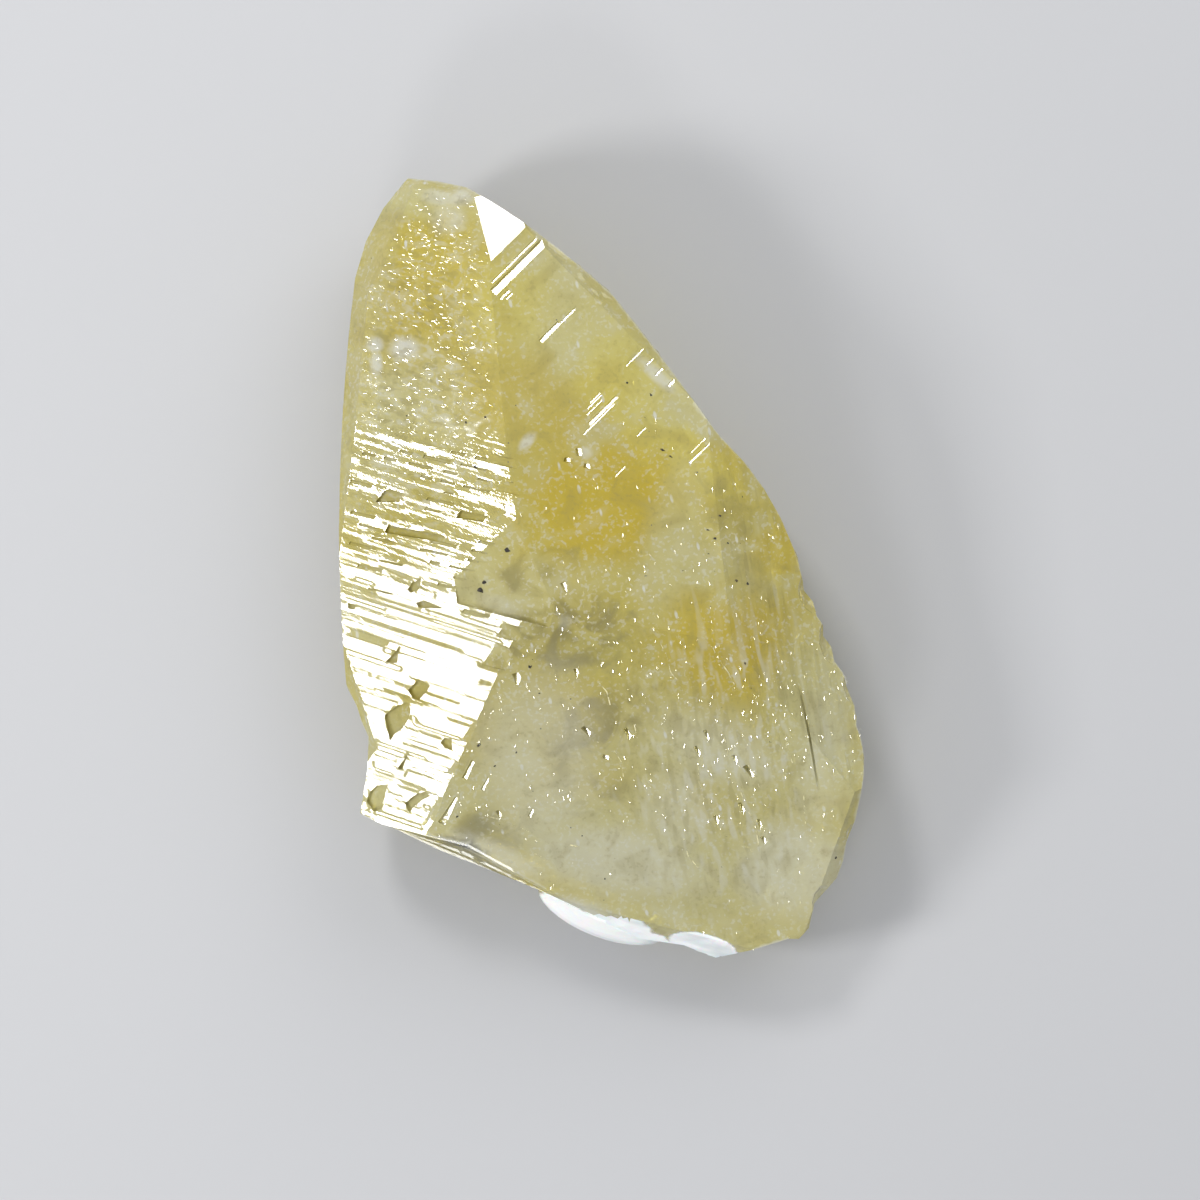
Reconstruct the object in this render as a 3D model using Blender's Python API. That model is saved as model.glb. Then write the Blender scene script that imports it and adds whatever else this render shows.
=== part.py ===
"""Calcite specimen: one honey-coloured calcite crystal, lying on its broad flat back.

X runs across the crystal, Y along it towards the point, and Z up from the back to the front
faces. The origin is under the middle of the crystal, on the surface that it lies on.
"""
import math
import random

import bmesh
import bpy
from mathutils import Matrix, Vector

MM = 0.001
NAME = "calcite_specimen"
NODE = "calcite_crystal"

# Driving dimensions, in millimetres
SLAB_HEIGHT = 26.0        # stock that the faces are cut from
RIDGE = (-8.0, 6.3, 20.0)  # highest point, where the left and right faces meet
LAMINA_AZIMUTH = -13.0    # degrees: the way the growth layers run across the left face
JOG_AZIMUTH = 57.0        # degrees: the way the layers step sideways
ARC_STEP = 3.2            # longest straight piece of a rounded stretch of the outline

# Outline seen from the front, anticlockwise from the point: x, y, and the bulge of the stretch
# that follows it (how far it swells outwards from a straight line).
OUTLINE = (
    # point and left flank
    (-17.8, 36.0, 0.85), (-22.7, 26.9, 0.45), (-24.2, 1.5, 0.1), (-23.6, -10.6, 0.0),
    # re-entrant notch under the flank
    (-22.6, -12.6, 0.1), (-21.5, -15.4, 0.0), (-21.6, -18.4, 0.0), (-22.3, -22.5, 0.0),
    # cleaved lower left edge, then the front edge above the lip
    (-15.1, -26.0, 0.0), (-6.1, -29.5, 0.0), (-0.2, -32.3, 0.2), (3.6, -34.2, 0.0),
    # foot
    (7.6, -34.8, 0.0), (10.6, -36.0, 0.15), (17.3, -34.2, 0.0), (18.3, -34.2, 0.0),
    (19.2, -33.2, 0.0), (19.7, -30.9, 0.0),
    # broken lower right corner
    (21.8, -28.5, 0.15), (22.6, -25.2, 0.2), (23.9, -20.7, 0.1),
    # scalloped right rim
    (24.2, -17.3, 0.1), (23.5, -14.4, 0.25), (22.6, -10.8, 0.25), (21.4, -8.4, 0.3),
    (20.4, -6.1, 0.3), (19.8, -4.3, 0.3), (18.6, -1.9, 0.0),
    # right shoulder up to the point
    (18.5, -1.0, 1.15), (10.9, 12.1, 0.0), (10.3, 12.8, 0.1), (1.0, 25.1, 0.45),
    (-12.4, 35.0, 0.15),
)

# Crystal faces on the front: x, y, z of a point on the face, the azimuth that it falls towards,
# and how steeply it falls, both in degrees.
FRONT_FACES = {
    "left": (-8.0, 6.3, 20.0, 188.0, 26.8),
    "left_high": (-16.0, 12.0, 16.4, 184.7, 26.3),
    "left_tip": (-10.2, 27.9, 19.8, 157.4, 28.6),
    "right": (-8.0, 6.3, 20.0, 9.0, 6.6),
    "streaked": (-10.3, 27.8, 19.87, 119.0, 18.8),
    "right_low": (-9.1, -4.0, 19.9, -81.1, 17.9),
    "right_flank": (12.0, -8.0, 18.0, 7.1, 27.2),
    "shoulder": (4.4, 19.5, 18.34, 40.0, 42.0),
    "cap": (-15.3, 34.5, 16.0, 108.0, 48.0),
    "upper_left": (-22.0, 28.2, 12.4, 158.0, 52.0),
    "left_rim": (-23.6, 6.0, 12.15, 178.0, 55.0),
    "foot": (8.8, -33.8, 9.5, -98.0, 48.0),
    "broken_corner": (19.0, -27.0, 12.8, -35.0, 46.0),
}

# Faces that undercut the back, given the same way.
BACK_FACES = {
    "back_left": (-24.2, 0.0, 6.8, 180.0, 50.0),
    "back_notch": (-22.3, -20.0, 6.0, 200.0, 52.0),
    "back_cleaved": (-14.0, -26.5, 5.0, 247.0, 50.0),
    "back_foot": (10.0, -36.0, 5.0, 278.0, 42.0),
    "back_corner": (21.5, -29.0, 6.0, -38.0, 48.0),
    "back_rim": (24.0, -18.0, 6.5, -4.0, 50.0),
    "back_shoulder": (6.0, 18.6, 8.5, 40.0, 47.0),
    "back_cap": (-15.0, 35.5, 8.0, 84.0, 44.0),
}

# Bite along the lower left edge: its inner corner on the left face, and the azimuths and dips of
# its long sloping floor and of the face that ends it.
SLIVER_CORNER = (-20.7, -16.4, 12.05)
SLIVER_FACES = ((194.5, 54.0), (158.6, 60.0))
SLIVER_STOCK = 20.0

# Pits in the left face, each by its outline, clockwise.
PITS = (
    ((-17.8, -11.1), (-16.8, -10.1), (-16.4, -10.2), (-15.7, -10.7), (-16.1, -11.3), (-16.8, -12.0),
     (-17.4, -11.8)),
    ((-20.0, -13.4), (-18.7, -12.5), (-17.9, -12.2), (-17.5, -12.8), (-17.7, -13.7), (-18.3, -14.6),
     (-19.0, -15.1), (-19.5, -15.8)),
    ((-14.8, -15.9), (-14.4, -15.4), (-13.7, -15.5), (-13.7, -16.5), (-14.3, -16.4)),
    ((-19.9, -8.5), (-18.6, -7.2), (-18.8, -8.6)),
    ((-18.8, -18.3), (-17.8, -16.9), (-18.3, -18.4)),
    ((-21.7, -21.4), (-21.3, -20.4), (-20.7, -19.9), (-19.7, -19.8), (-20.0, -21.0), (-20.3, -22.1),
     (-21.0, -22.3)),
    ((-18.1, -21.5), (-17.0, -20.6), (-16.1, -20.4), (-15.7, -20.8), (-16.5, -21.2), (-17.4, -21.9),
     (-17.7, -22.4)),
    ((-23.4, -3.1), (-22.5, -3.2), (-22.8, -3.7), (-23.4, -3.6)),
    ((-17.0, -3.1), (-16.3, -2.8), (-15.0, -3.3), (-14.4, -3.6), (-16.8, -3.5)),
    ((-17.8, -1.9), (-17.4, -1.2), (-16.5, -0.8), (-16.7, -1.7), (-17.5, -2.2)),
    ((-20.8, 6.2), (-20.0, 7.2), (-19.5, 7.4), (-18.2, 7.0), (-18.6, 6.2)),
    ((-19.6, 4.1), (-14.4, 3.1), (-14.8, 2.5), (-20.0, 3.4)),
    ((-12.9, 5.4), (-10.4, 4.9), (-10.8, 4.3), (-13.3, 4.7)),
)
PIT_DEPTH = 0.4
PIT_MARGIN = 2.4          # grooves stay this far from the middle of a pit
PIT_TILT = 8.0            # degrees: the floor of a pit or groove leans from the face by this much

# Broken rows of grooves between the growth layers of the left face
GROOVE_ROWS = 22
GROOVE_TOP = 15.4         # y of the first row, at the ridge
GROOVE_LIMIT = 11.0       # the face is smooth above this y
GROOVE_PITCH = 0.95
GROOVE_DEPTH = 0.16
GROOVE_SEED = 11

# Bites out of the ridge: x and y of the lower left corner, length along the layers, width along
# the jogs. Each is hinged on its left edge and sinks to the right.
RIDGE_BITES = (
    (-10.6, 9.8, 4.0, 1.0), (-9.7, 7.2, 3.2, 1.2), (-9.6, -6.1, 3.6, 1.5), (-10.9, -8.7, 4.6, 2.4),
    (-12.9, -15.7, 4.0, 2.2), (-14.2, -18.7, 2.8, 1.5), (-16.2, -22.9, 3.6, 2.6),
)
HINGE_TILT = 8.5          # degrees: how far the floors of the ridge's bites and notch lean

# Notch that breaks the ridge half way down: its outline from its upper left corner, round the
# short left side and the lower side, which follow the layers; and the azimuth of the upper side,
# on which its floor is hinged.
NOTCH = ((-13.5, -0.84), (-13.2, -3.1), (-9.0, -4.25), (-3.5, -5.6), (-2.5, 9.0), (-8.4, 4.1))
NOTCH_HINGE = 44.0

# Bright streaks on the right face: x and y of the lower end, length and width.
STREAKS = (
    (-9.6, 24.9, 7.6, 0.75), (-9.9, 26.0, 7.2, 0.2), (-11.4, 31.9, 2.2, 0.2),
    (-11.1, 31.2, 1.6, 0.15), (-9.1, 24.5, 1.1, 0.25), (-8.6, 24.5, 0.8, 0.2),
    (-5.4, 20.6, 2.4, 0.4), (-3.66, 22.34, 1.9, 0.2), (-1.6, 12.2, 4.0, 0.16),
    (-1.0, 13.1, 3.6, 0.3), (-1.3, 14.0, 2.0, 0.12), (-1.2, 14.6, 1.8, 0.14),
    (-1.0, 15.1, 1.3, 0.12), (2.3, 18.5, 2.4, 0.14), (3.3, 12.1, 1.1, 0.14),
    (8.1, 9.6, 1.6, 0.22), (9.3, 10.8, 1.6, 0.14), (8.2, 10.6, 1.9, 0.1), (1.3, 8.4, 1.3, 0.14),
    (6.2, 16.6, 2.6, 0.3), (5.0, 17.6, 2.2, 0.2), (4.2, 18.6, 1.6, 0.16),
)
STREAK_AZIMUTH = 45.0
STREAK_TILT = 18.0        # degrees: how far a streak's floor leans from the face around it

# Long furrows on the right flank
FURROWS = 7
FURROW_START = (13.4, -7.0)
FURROW_PITCH = 1.3
FURROW_AZIMUTH = -79.0
FURROW_TILT = 4.5          # degrees: how far a furrow's floor leans from the flank
FURROW_SEED = 5

# Ledges down the cleaved lower left edge
LEDGE_LINE = ((-26.0, -20.9), (4.0, -34.5))
# How far in the first ledge starts, at distances along that line
LEDGE_INSETS = ((6.5, 0.05), (14.3, 1.7), (22.5, 0.95), (33.0, 0.6))
# Each ledge's share of those distances, and how far it falls outwards, in degrees
LEDGES = ((1.0, 22.0), (0.84, 38.0), (0.66, 12.0), (0.48, 23.0), (0.3, 40.0), (0.14, 20.0))
LEDGE_TOP = 13.4
LEDGE_DROP = 0.9

# Steep cleavage chips whose floors lie along the left face: x and y of the middle, azimuth,
# length and width.
CHIPS = (
    (2.6, -15.3, -72.0, 1.6, 0.35), (9.8, -15.4, -74.0, 1.4, 0.3), (9.0, -16.9, -70.0, 1.5, 0.3),
    (12.4, -17.6, -72.0, 1.2, 0.3), (13.9, -18.9, -62.0, 2.1, 0.4), (10.7, -23.2, -76.0, 1.2, 0.3),
    (13.1, -22.2, -73.0, 1.6, 0.3), (14.7, -23.6, -75.0, 1.3, 0.3), (15.1, -25.1, -70.0, 1.1, 0.3),
    (-12.1, -18.4, 62.0, 1.9, 0.45), (-13.9, -22.2, 57.0, 2.9, 0.6), (-15.8, -23.3, 50.0, 1.7, 0.5),
    (-10.6, -19.7, 60.0, 1.3, 0.3), (-7.6, -10.0, -80.0, 1.1, 0.6), (-2.0, 10.7, -80.0, 0.7, 0.5),
    (-2.9, 9.9, -20.0, 0.9, 0.4), (-1.1, 9.4, -10.0, 0.9, 0.4), (-3.3, -1.6, -65.0, 0.9, 0.4),
    (-2.2, -9.5, -78.0, 0.9, 0.35), (-1.1, -15.0, -55.0, 1.5, 0.4), (0.6, -17.3, -30.0, 0.9, 0.4),
    (-8.6, 5.5, -75.0, 0.8, 0.5), (-9.3, -22.6, -70.0, 1.0, 0.3), (-6.4, -22.4, 60.0, 0.8, 0.3),
)

# Low step edges that follow the layers down to the front edge: x and y of the right end, azimuth,
# length and width.
STEP_EDGES = (
    (-6.7, -24.2, 159.0, 4.6, 0.4), (-5.0, -26.8, 155.0, 1.9, 0.35), (-0.2, -26.2, 166.0, 3.0, 0.35),
    (-6.8, -27.0, 158.0, 8.6, 0.3), (-4.5, -26.6, 158.0, 1.3, 0.25),
)
STEP_TILT = 14.0

# Shallow cleavage steps that break the flat back: middle x and y, the azimuths of the two
# sides, their lengths, and the depth.
BACK_STEPS = (
    (15.5, -15.0, 85.0, 20.0, 160.0, 9.0, 1.3), (18.5, -8.0, 72.0, 14.0, 155.0, 6.0, 2.2),
    (-8.0, 31.0, 15.0, 16.0, 100.0, 8.0, 1.6), (-17.5, -19.5, -24.0, 12.0, 80.0, 7.0, 1.1),
    (5.0, -30.5, -10.0, 22.0, 66.0, 6.0, 0.8), (8.0, 11.5, 126.0, 16.0, 48.0, 5.0, 1.0),
)

# Rounded chips out of the right rim
CHIP_RADIUS = 2.3
CHIP_OFFSET = (1.3, 0.9)  # how far the middle of a chip lies outside the rim, and above it
CHIP_SEED = 3

# Flat steps broken into the side walls: x and y on the wall, the azimuth that it faces, then the
# step's length, its lowest and highest z, how deep it goes, and how far its ends lean.
SIDE_STEPS = (
    (-24.2, 12.0, 178.0, 13.0, 2.0, 8.6, 0.7, 0.5), (-24.2, -1.0, 181.0, 8.0, 3.0, 7.4, 1.1, -0.4),
    (-22.0, 29.0, 152.0, 7.0, 6.5, 9.8, 0.8, 0.3), (6.6, 17.6, 38.0, 16.0, 9.8, 12.6, 0.7, -0.5),
    (-5.0, 30.3, 53.0, 10.0, 8.0, 11.4, 0.8, 0.4), (16.5, 5.0, 30.0, 8.0, 7.6, 11.6, 0.9, 0.5),
    (22.6, -11.0, 14.0, 9.0, 5.0, 8.8, 0.9, -0.3), (23.6, -21.5, -12.0, 6.0, 4.4, 7.2, 0.8, 0.4),
    (14.0, -35.1, -74.0, 8.0, 4.0, 7.6, 0.8, 0.5), (-13.0, -26.9, 247.0, 9.0, 2.6, 5.4, 0.8, -0.5),
)

# Smooth lip under the front edge
LIP_CENTRE = (0.2, -31.5, 5.4)
LIP_RADII = (6.5, 2.75, 2.6)
LIP_AZIMUTH = -21.0


def mm(*values):
    """Turn millimetres into a vector in metres."""
    return Vector(values) * MM


def heading(azimuth):
    """Unit vector in the XY plane at an azimuth in degrees."""
    angle = math.radians(azimuth)
    return Vector((math.cos(angle), math.sin(angle), 0.0))


def face_normal(azimuth, dip):
    """Outward normal of a front face that falls towards an azimuth."""
    angle = math.radians(dip)
    return heading(azimuth) * math.sin(angle) + Vector((0.0, 0.0, math.cos(angle)))


def face_height(face, x, y):
    """Height in millimetres of a front face over a point."""
    px, py, pz, azimuth, dip = face
    fall = heading(azimuth) * math.tan(math.radians(dip))
    return pz - fall.x * (x - px) - fall.y * (y - py)


def front_height(x, y):
    """Height in millimetres of the lowest front face over a point."""
    return min(face_height(face, x, y) for face in FRONT_FACES.values())


def rounded(outline):
    """Points of a closed outline whose stretches swell outwards by their bulge."""
    points = []
    for index, (x, y, bulge) in enumerate(outline):
        start = Vector((x, y))
        end = Vector(outline[(index + 1) % len(outline)][:2])
        run = end - start
        points.append(start)
        if bulge == 0.0:
            continue
        steps = max(2, round(run.length / ARC_STEP))
        outwards = Vector((run.y, -run.x)).normalized()
        for step in range(1, steps):
            part = step / steps
            points.append(start + run * part + outwards * (4.0 * bulge * part * (1.0 - part)))
    return points


def prism(name, points, low, high):
    """Mesh object of a flat outline, extruded between two heights in millimetres."""
    curve = bpy.data.curves.new(name, "CURVE")
    curve.dimensions = "2D"
    curve.fill_mode = "BOTH"
    curve.extrude = (high - low) * 0.5 * MM
    spline = curve.splines.new("POLY")
    spline.points.add(len(points) - 1)
    for point, place in zip(spline.points, points):
        point.co = (place[0] * MM, place[1] * MM, 0.0, 1.0)
    spline.use_cyclic_u = True
    guide = bpy.data.objects.new(name + "_outline", curve)
    guide.location.z = (high + low) * 0.5 * MM
    bpy.context.scene.collection.objects.link(guide)
    bpy.context.view_layer.update()
    depsgraph = bpy.context.evaluated_depsgraph_get()
    mesh = bpy.data.meshes.new_from_object(guide.evaluated_get(depsgraph))
    mesh.transform(guide.matrix_world)
    bpy.data.objects.remove(guide)
    bm = bmesh.new()
    bm.from_mesh(mesh)
    bmesh.ops.remove_doubles(bm, verts=bm.verts, dist=1e-6)
    bmesh.ops.recalc_face_normals(bm, faces=bm.faces)
    bm.to_mesh(mesh)
    bm.free()
    return bpy.data.objects.new(name, mesh)


def cut_flat(bm, point, normal):
    """Cut a closed mesh by a plane, drop what lies outside it and close the cut."""
    everything = bm.verts[:] + bm.edges[:] + bm.faces[:]
    cut = bmesh.ops.bisect_plane(bm, geom=everything, dist=1e-7, plane_co=point,
                                 plane_no=normal, clear_outer=True)
    edges = [item for item in cut["geom_cut"] if isinstance(item, bmesh.types.BMEdge)]
    bmesh.ops.holes_fill(bm, edges=edges, sides=0)


def crystal_blank():
    """The crystal before its small detail: its outline, cut by its front and back faces."""
    blank = prism(NODE, rounded(OUTLINE), 0.0, SLAB_HEIGHT)
    bm = bmesh.new()
    bm.from_mesh(blank.data)
    bmesh.ops.dissolve_limit(bm, angle_limit=math.radians(0.5), verts=bm.verts, edges=bm.edges)
    for x, y, z, azimuth, dip in FRONT_FACES.values():
        cut_flat(bm, mm(x, y, z), face_normal(azimuth, dip))
    for x, y, z, azimuth, dip in BACK_FACES.values():
        outwards = face_normal(azimuth, dip)
        cut_flat(bm, mm(x, y, z), Vector((outwards.x, outwards.y, -outwards.z)))
    bmesh.ops.recalc_face_normals(bm, faces=bm.faces)
    bm.to_mesh(blank.data)
    bm.free()
    return blank


def cutter_from(name, boxes):
    """One object of sheared boxes, each given by its middle and its three edge vectors."""
    bm = bmesh.new()
    for middle, along, across, through in boxes:
        matrix = Matrix((along, across, through)).transposed().to_4x4()
        matrix.translation = middle
        bmesh.ops.create_cube(bm, size=1.0, matrix=matrix)
    bmesh.ops.recalc_face_normals(bm, faces=bm.faces)
    mesh = bpy.data.meshes.new(name)
    bm.to_mesh(mesh)
    bm.free()
    return bpy.data.objects.new(name, mesh)


def in_face(azimuth, normal):
    """Unit vector that lies in a face and runs, seen from the front, at an azimuth."""
    flat = heading(azimuth)
    rise = -(flat.x * normal.x + flat.y * normal.y) / normal.z
    return (flat + Vector((0.0, 0.0, rise))).normalized()


def floored(stock, point, normal):
    """Cut away what lies under a plane through a point in millimetres."""
    bm = bmesh.new()
    bm.from_mesh(stock.data)
    cut_flat(bm, mm(*point), -normal)
    bmesh.ops.recalc_face_normals(bm, faces=bm.faces)
    bm.to_mesh(stock.data)
    bm.free()
    return stock


def hinged_normal(azimuth):
    """Normal of a floor hinged on a line in the left face, which sinks to the line's right."""
    left = face_normal(*FRONT_FACES["left"][3:])
    return Matrix.Rotation(math.radians(HINGE_TILT), 3, in_face(azimuth, left)) @ left


def left_height(x, y):
    """Height in millimetres of the left face over a point."""
    return face_height(FRONT_FACES["left"], x, y)


def layer_box(x, y, along, across, depth, tilt):
    """Sheared box that sinks into the left face, its floor tilted about the layers' direction."""
    normal = face_normal(*FRONT_FACES["left"][3:])
    lamina = in_face(LAMINA_AZIMUTH, normal)
    turn = Matrix.Rotation(math.radians(tilt), 3, lamina)
    up = turn @ normal
    jog = turn @ in_face(JOG_AZIMUTH, normal)
    clear = 2.0
    middle = mm(x, y, front_height(x, y)) + up * ((clear - depth) * 0.5 * MM)
    return middle, lamina * along * MM, jog * across * MM, up * (clear + depth) * MM


def middle_of(outline):
    """Mean x and y of an outline's points."""
    return [sum(axis) / len(outline) for axis in zip(*outline)]


def pit_cutters():
    """Pits in the left face, their floors tilted about the layers' direction."""
    normal = face_normal(*FRONT_FACES["left"][3:])
    up = Matrix.Rotation(math.radians(PIT_TILT), 3, in_face(LAMINA_AZIMUTH, normal)) @ normal
    clear = 3.0
    bm = bmesh.new()
    for outline in PITS:
        x, y = middle_of(outline)
        low = left_height(x, y) - PIT_DEPTH
        floor = [(px, py, low - ((px - x) * up.x + (py - y) * up.y) / up.z) for px, py in outline]
        bottom = [bm.verts.new(mm(*point)) for point in floor]
        top = [bm.verts.new(mm(px, py, low + clear)) for px, py, _ in floor]
        bm.faces.new(bottom)
        bm.faces.new(reversed(top))
        for index in range(len(outline)):
            after = (index + 1) % len(outline)
            bm.faces.new((bottom[after], bottom[index], top[index], top[after]))
    bmesh.ops.recalc_face_normals(bm, faces=bm.faces)
    mesh = bpy.data.meshes.new("pits")
    bm.to_mesh(mesh)
    bm.free()
    return bpy.data.objects.new("pits", mesh)


def groove_cutters():
    """Broken rows of thin grooves that part the growth layers of the left face."""
    chance = random.Random(GROOVE_SEED)
    lamina = heading(LAMINA_AZIMUTH)
    pits = [middle_of(outline) for outline in PITS]
    boxes = []
    for row in range(GROOVE_ROWS):
        start = Vector((-9.3, GROOVE_TOP - row * GROOVE_PITCH, 0.0))
        travelled = chance.uniform(0.4, 1.6)
        while True:
            length = chance.uniform(1.0, 3.0)
            place = start - lamina * (travelled + length * 0.5)
            if place.x - length * 0.5 < -23.6:
                break
            width = chance.uniform(0.18, 0.4)
            clear = all(math.hypot(place.x - x, place.y - y) > PIT_MARGIN for x, y in pits)
            if clear and place.y < GROOVE_LIMIT:
                boxes.append(layer_box(place.x, place.y, length, width, GROOVE_DEPTH, -PIT_TILT))
            travelled += length + chance.uniform(0.5, 1.8)
    return cutter_from("grooves", boxes)


def ridge_bite_cutters():
    """Bites out of the ridge, hinged on the left face, with sides that follow its layers."""
    jog = in_face(JOG_AZIMUTH, face_normal(*FRONT_FACES["left"][3:]))
    up = hinged_normal(JOG_AZIMUTH)
    lamina = in_face(LAMINA_AZIMUTH, up)
    height = 2.0
    boxes = []
    for x, y, along, across in RIDGE_BITES:
        corner = mm(x, y, left_height(x, y))
        middle = corner + (lamina * along + jog * across + up * height) * (0.5 * MM)
        boxes.append((middle, lamina * along * MM, jog * across * MM, up * height * MM))
    return cutter_from("ridge_bites", boxes)


def sliver_cutter():
    """Long bite along the lower left edge."""
    bm = bmesh.new()
    bmesh.ops.create_cube(bm, size=SLIVER_STOCK * MM, matrix=Matrix.Translation(mm(*SLIVER_CORNER)))
    mesh = bpy.data.meshes.new("sliver")
    bm.to_mesh(mesh)
    bm.free()
    stock = bpy.data.objects.new("sliver", mesh)
    for azimuth, dip in SLIVER_FACES:
        floored(stock, SLIVER_CORNER, face_normal(azimuth, dip))
    return stock


def side_step_cutters():
    """Flat cleavage steps broken into the side walls, with leaning ends."""
    reach = 3.0
    boxes = []
    for x, y, azimuth, length, low, high, depth, lean in SIDE_STEPS:
        outwards = heading(azimuth)
        along = heading(azimuth + 90.0)
        middle = mm(x, y, (low + high) * 0.5) + outwards * ((reach - depth) * 0.5 * MM)
        height = (Vector((0.0, 0.0, 1.0)) + along * lean) * (high - low) * MM
        boxes.append((middle, along * length * MM, outwards * (reach + depth) * MM, height))
    return cutter_from("side_steps", boxes)


def right_height(x, y):
    """Height in millimetres of the right face, or of the streaked face beside it."""
    return min(face_height(FRONT_FACES[name], x, y) for name in ("right", "streaked"))


def wedge_box(x, y, azimuth, length, width, tilt, height_at=front_height):
    """Box laid along the front from a point, tilted so that it opens a one-sided furrow.

    The furrow sinks towards the left of its run.
    """
    end = Vector((x, y, 0.0)) + heading(azimuth) * length
    low = height_at(x, y)
    run = mm(end.x, end.y, height_at(end.x, end.y)) - mm(x, y, low)
    along = run.normalized()
    side = Vector((0.0, 0.0, 1.0)).cross(along).normalized()
    face_up = along.cross(side)
    angle = math.radians(tilt)
    floor = side * math.cos(angle) - face_up * math.sin(angle)
    up = face_up * math.cos(angle) + side * math.sin(angle)
    height = 2.0 * MM
    middle = mm(x, y, low) + run * 0.5 + floor * (width * 0.5 * MM) + up * height * 0.5
    return middle, run, floor * width * MM, up * height


def streak_cutters():
    """Bright streaks: short furrows across the right face."""
    boxes = [wedge_box(x, y, STREAK_AZIMUTH, length, width, STREAK_TILT, right_height)
             for x, y, length, width in STREAKS]
    return cutter_from("streaks", boxes)


def furrow_cutters():
    """Long shallow furrows down the right flank."""
    chance = random.Random(FURROW_SEED)
    boxes = []
    for index in range(FURROWS):
        start = Vector((FURROW_START[0] + index * FURROW_PITCH, FURROW_START[1], 0.0))
        start += heading(FURROW_AZIMUTH) * chance.uniform(-2.0, 6.0)
        boxes.append(wedge_box(start.x, start.y, FURROW_AZIMUTH, chance.uniform(5.0, 11.0),
                               chance.uniform(0.2, 0.35), FURROW_TILT))
    return cutter_from("furrows", boxes)


def chip_cutters():
    """Small cleavage chips scattered over the front, their floors along the left face."""
    normal = face_normal(*FRONT_FACES["left"][3:])
    clear = 1.2
    boxes = []
    for x, y, azimuth, length, width in CHIPS:
        along = in_face(azimuth, normal)
        across = normal.cross(along)
        sink = across.z * math.copysign(width * 0.5, across.z)
        middle = mm(x, y, front_height(x, y) - sink) + normal * (clear * 0.5 * MM)
        boxes.append((middle, along * length * MM, across * width * MM, normal * clear * MM))
    return cutter_from("chips", boxes)


def step_edge_cutters():
    """Low step edges that follow the layers down to the front edge."""
    boxes = [wedge_box(x, y, azimuth, length, width, STEP_TILT)
             for x, y, azimuth, length, width in STEP_EDGES]
    return cutter_from("step_edges", boxes)


def back_step_cutters():
    """Shallow flat steps broken out of the back around its rim."""
    below = 2.0
    cutters = []
    for index, (x, y, azimuth, length, other_azimuth, other_length, depth) in enumerate(BACK_STEPS):
        box = (mm(x, y, (depth - below) * 0.5), heading(azimuth) * length * MM,
               heading(other_azimuth) * other_length * MM, mm(0.0, 0.0, depth + below))
        cutters.append(cutter_from("back_step_%d" % (index + 1), [box]))
    return cutters


def notch_cutter():
    """Notch that breaks the ridge half way down and runs out on the right face."""
    x, y = NOTCH[0]
    stock = prism("ridge_notch", NOTCH, RIDGE[2] * 0.5, SLAB_HEIGHT)
    return floored(stock, (x, y, left_height(x, y)), hinged_normal(NOTCH_HINGE))


def ledge_cutters():
    """Steps down the cleaved lower left edge, each lower and further out than the last."""
    start, end = Vector(LEDGE_LINE[0]), Vector(LEDGE_LINE[1])
    run = (end - start).normalized()
    outwards = Vector((run.y, -run.x))
    azimuth = math.degrees(math.atan2(outwards.y, outwards.x))
    reach = 12.0
    cutters = []
    for step, (share, dip) in enumerate(LEDGES, 1):
        inner = [start + run * along - outwards * inset * share for along, inset in LEDGE_INSETS]
        corners = inner + [inner[-1] + outwards * reach, inner[0] + outwards * reach]
        ledge = prism("ledge_%d" % step, corners, 0.0, SLAB_HEIGHT)
        low = LEDGE_TOP - LEDGE_DROP * step
        cutters.append(floored(ledge, (*inner[1], low), face_normal(azimuth, dip)))
    return cutters


def rim_chip_cutters():
    """Shallow rounded chips along the front of the right rim."""
    chance = random.Random(CHIP_SEED)
    rim = [point for point in OUTLINE if point[0] > 18.0 and -31.0 < point[1] < -1.5]
    bm = bmesh.new()
    for x, y, _ in rim[::2]:
        outwards = Vector((x, y * 0.2, 0.0)).normalized()
        place = mm(x, y, front_height(x, y) + CHIP_OFFSET[1]) + outwards * CHIP_OFFSET[0] * MM
        squash = Matrix.Diagonal((0.8, chance.uniform(1.0, 1.4), 1.0, 1.0))
        turn = Matrix.Rotation(chance.uniform(-0.3, 0.3), 4, "Z")
        radius = CHIP_RADIUS * chance.uniform(0.8, 1.1) * MM
        bmesh.ops.create_uvsphere(bm, u_segments=14, v_segments=9, radius=radius,
                                  matrix=Matrix.Translation(place) @ turn @ squash)
    mesh = bpy.data.meshes.new("rim_chips")
    bm.to_mesh(mesh)
    bm.free()
    return bpy.data.objects.new("rim_chips", mesh)


def lip_solid():
    """Smooth lens-shaped lip that stands out under the lower front edge."""
    bm = bmesh.new()
    matrix = (Matrix.Translation(mm(*LIP_CENTRE)) @ Matrix.Rotation(math.radians(LIP_AZIMUTH), 4, "Z")
              @ Matrix.Diagonal((*LIP_RADII, 1.0)))
    bmesh.ops.create_uvsphere(bm, u_segments=32, v_segments=14, radius=MM, matrix=matrix)
    mesh = bpy.data.meshes.new("lip")
    bm.to_mesh(mesh)
    bm.free()
    return bpy.data.objects.new("lip", mesh)


def calcite_material():
    """Clear honey calcite."""
    material = bpy.data.materials.new("honey_calcite")
    material.use_nodes = True
    shader = material.node_tree.nodes["Principled BSDF"]
    shader.inputs["Base Color"].default_value = (0.55, 0.42, 0.12, 1.0)
    shader.inputs["Roughness"].default_value = 0.25
    shader.inputs["Metallic"].default_value = 0.0
    return material


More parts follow.
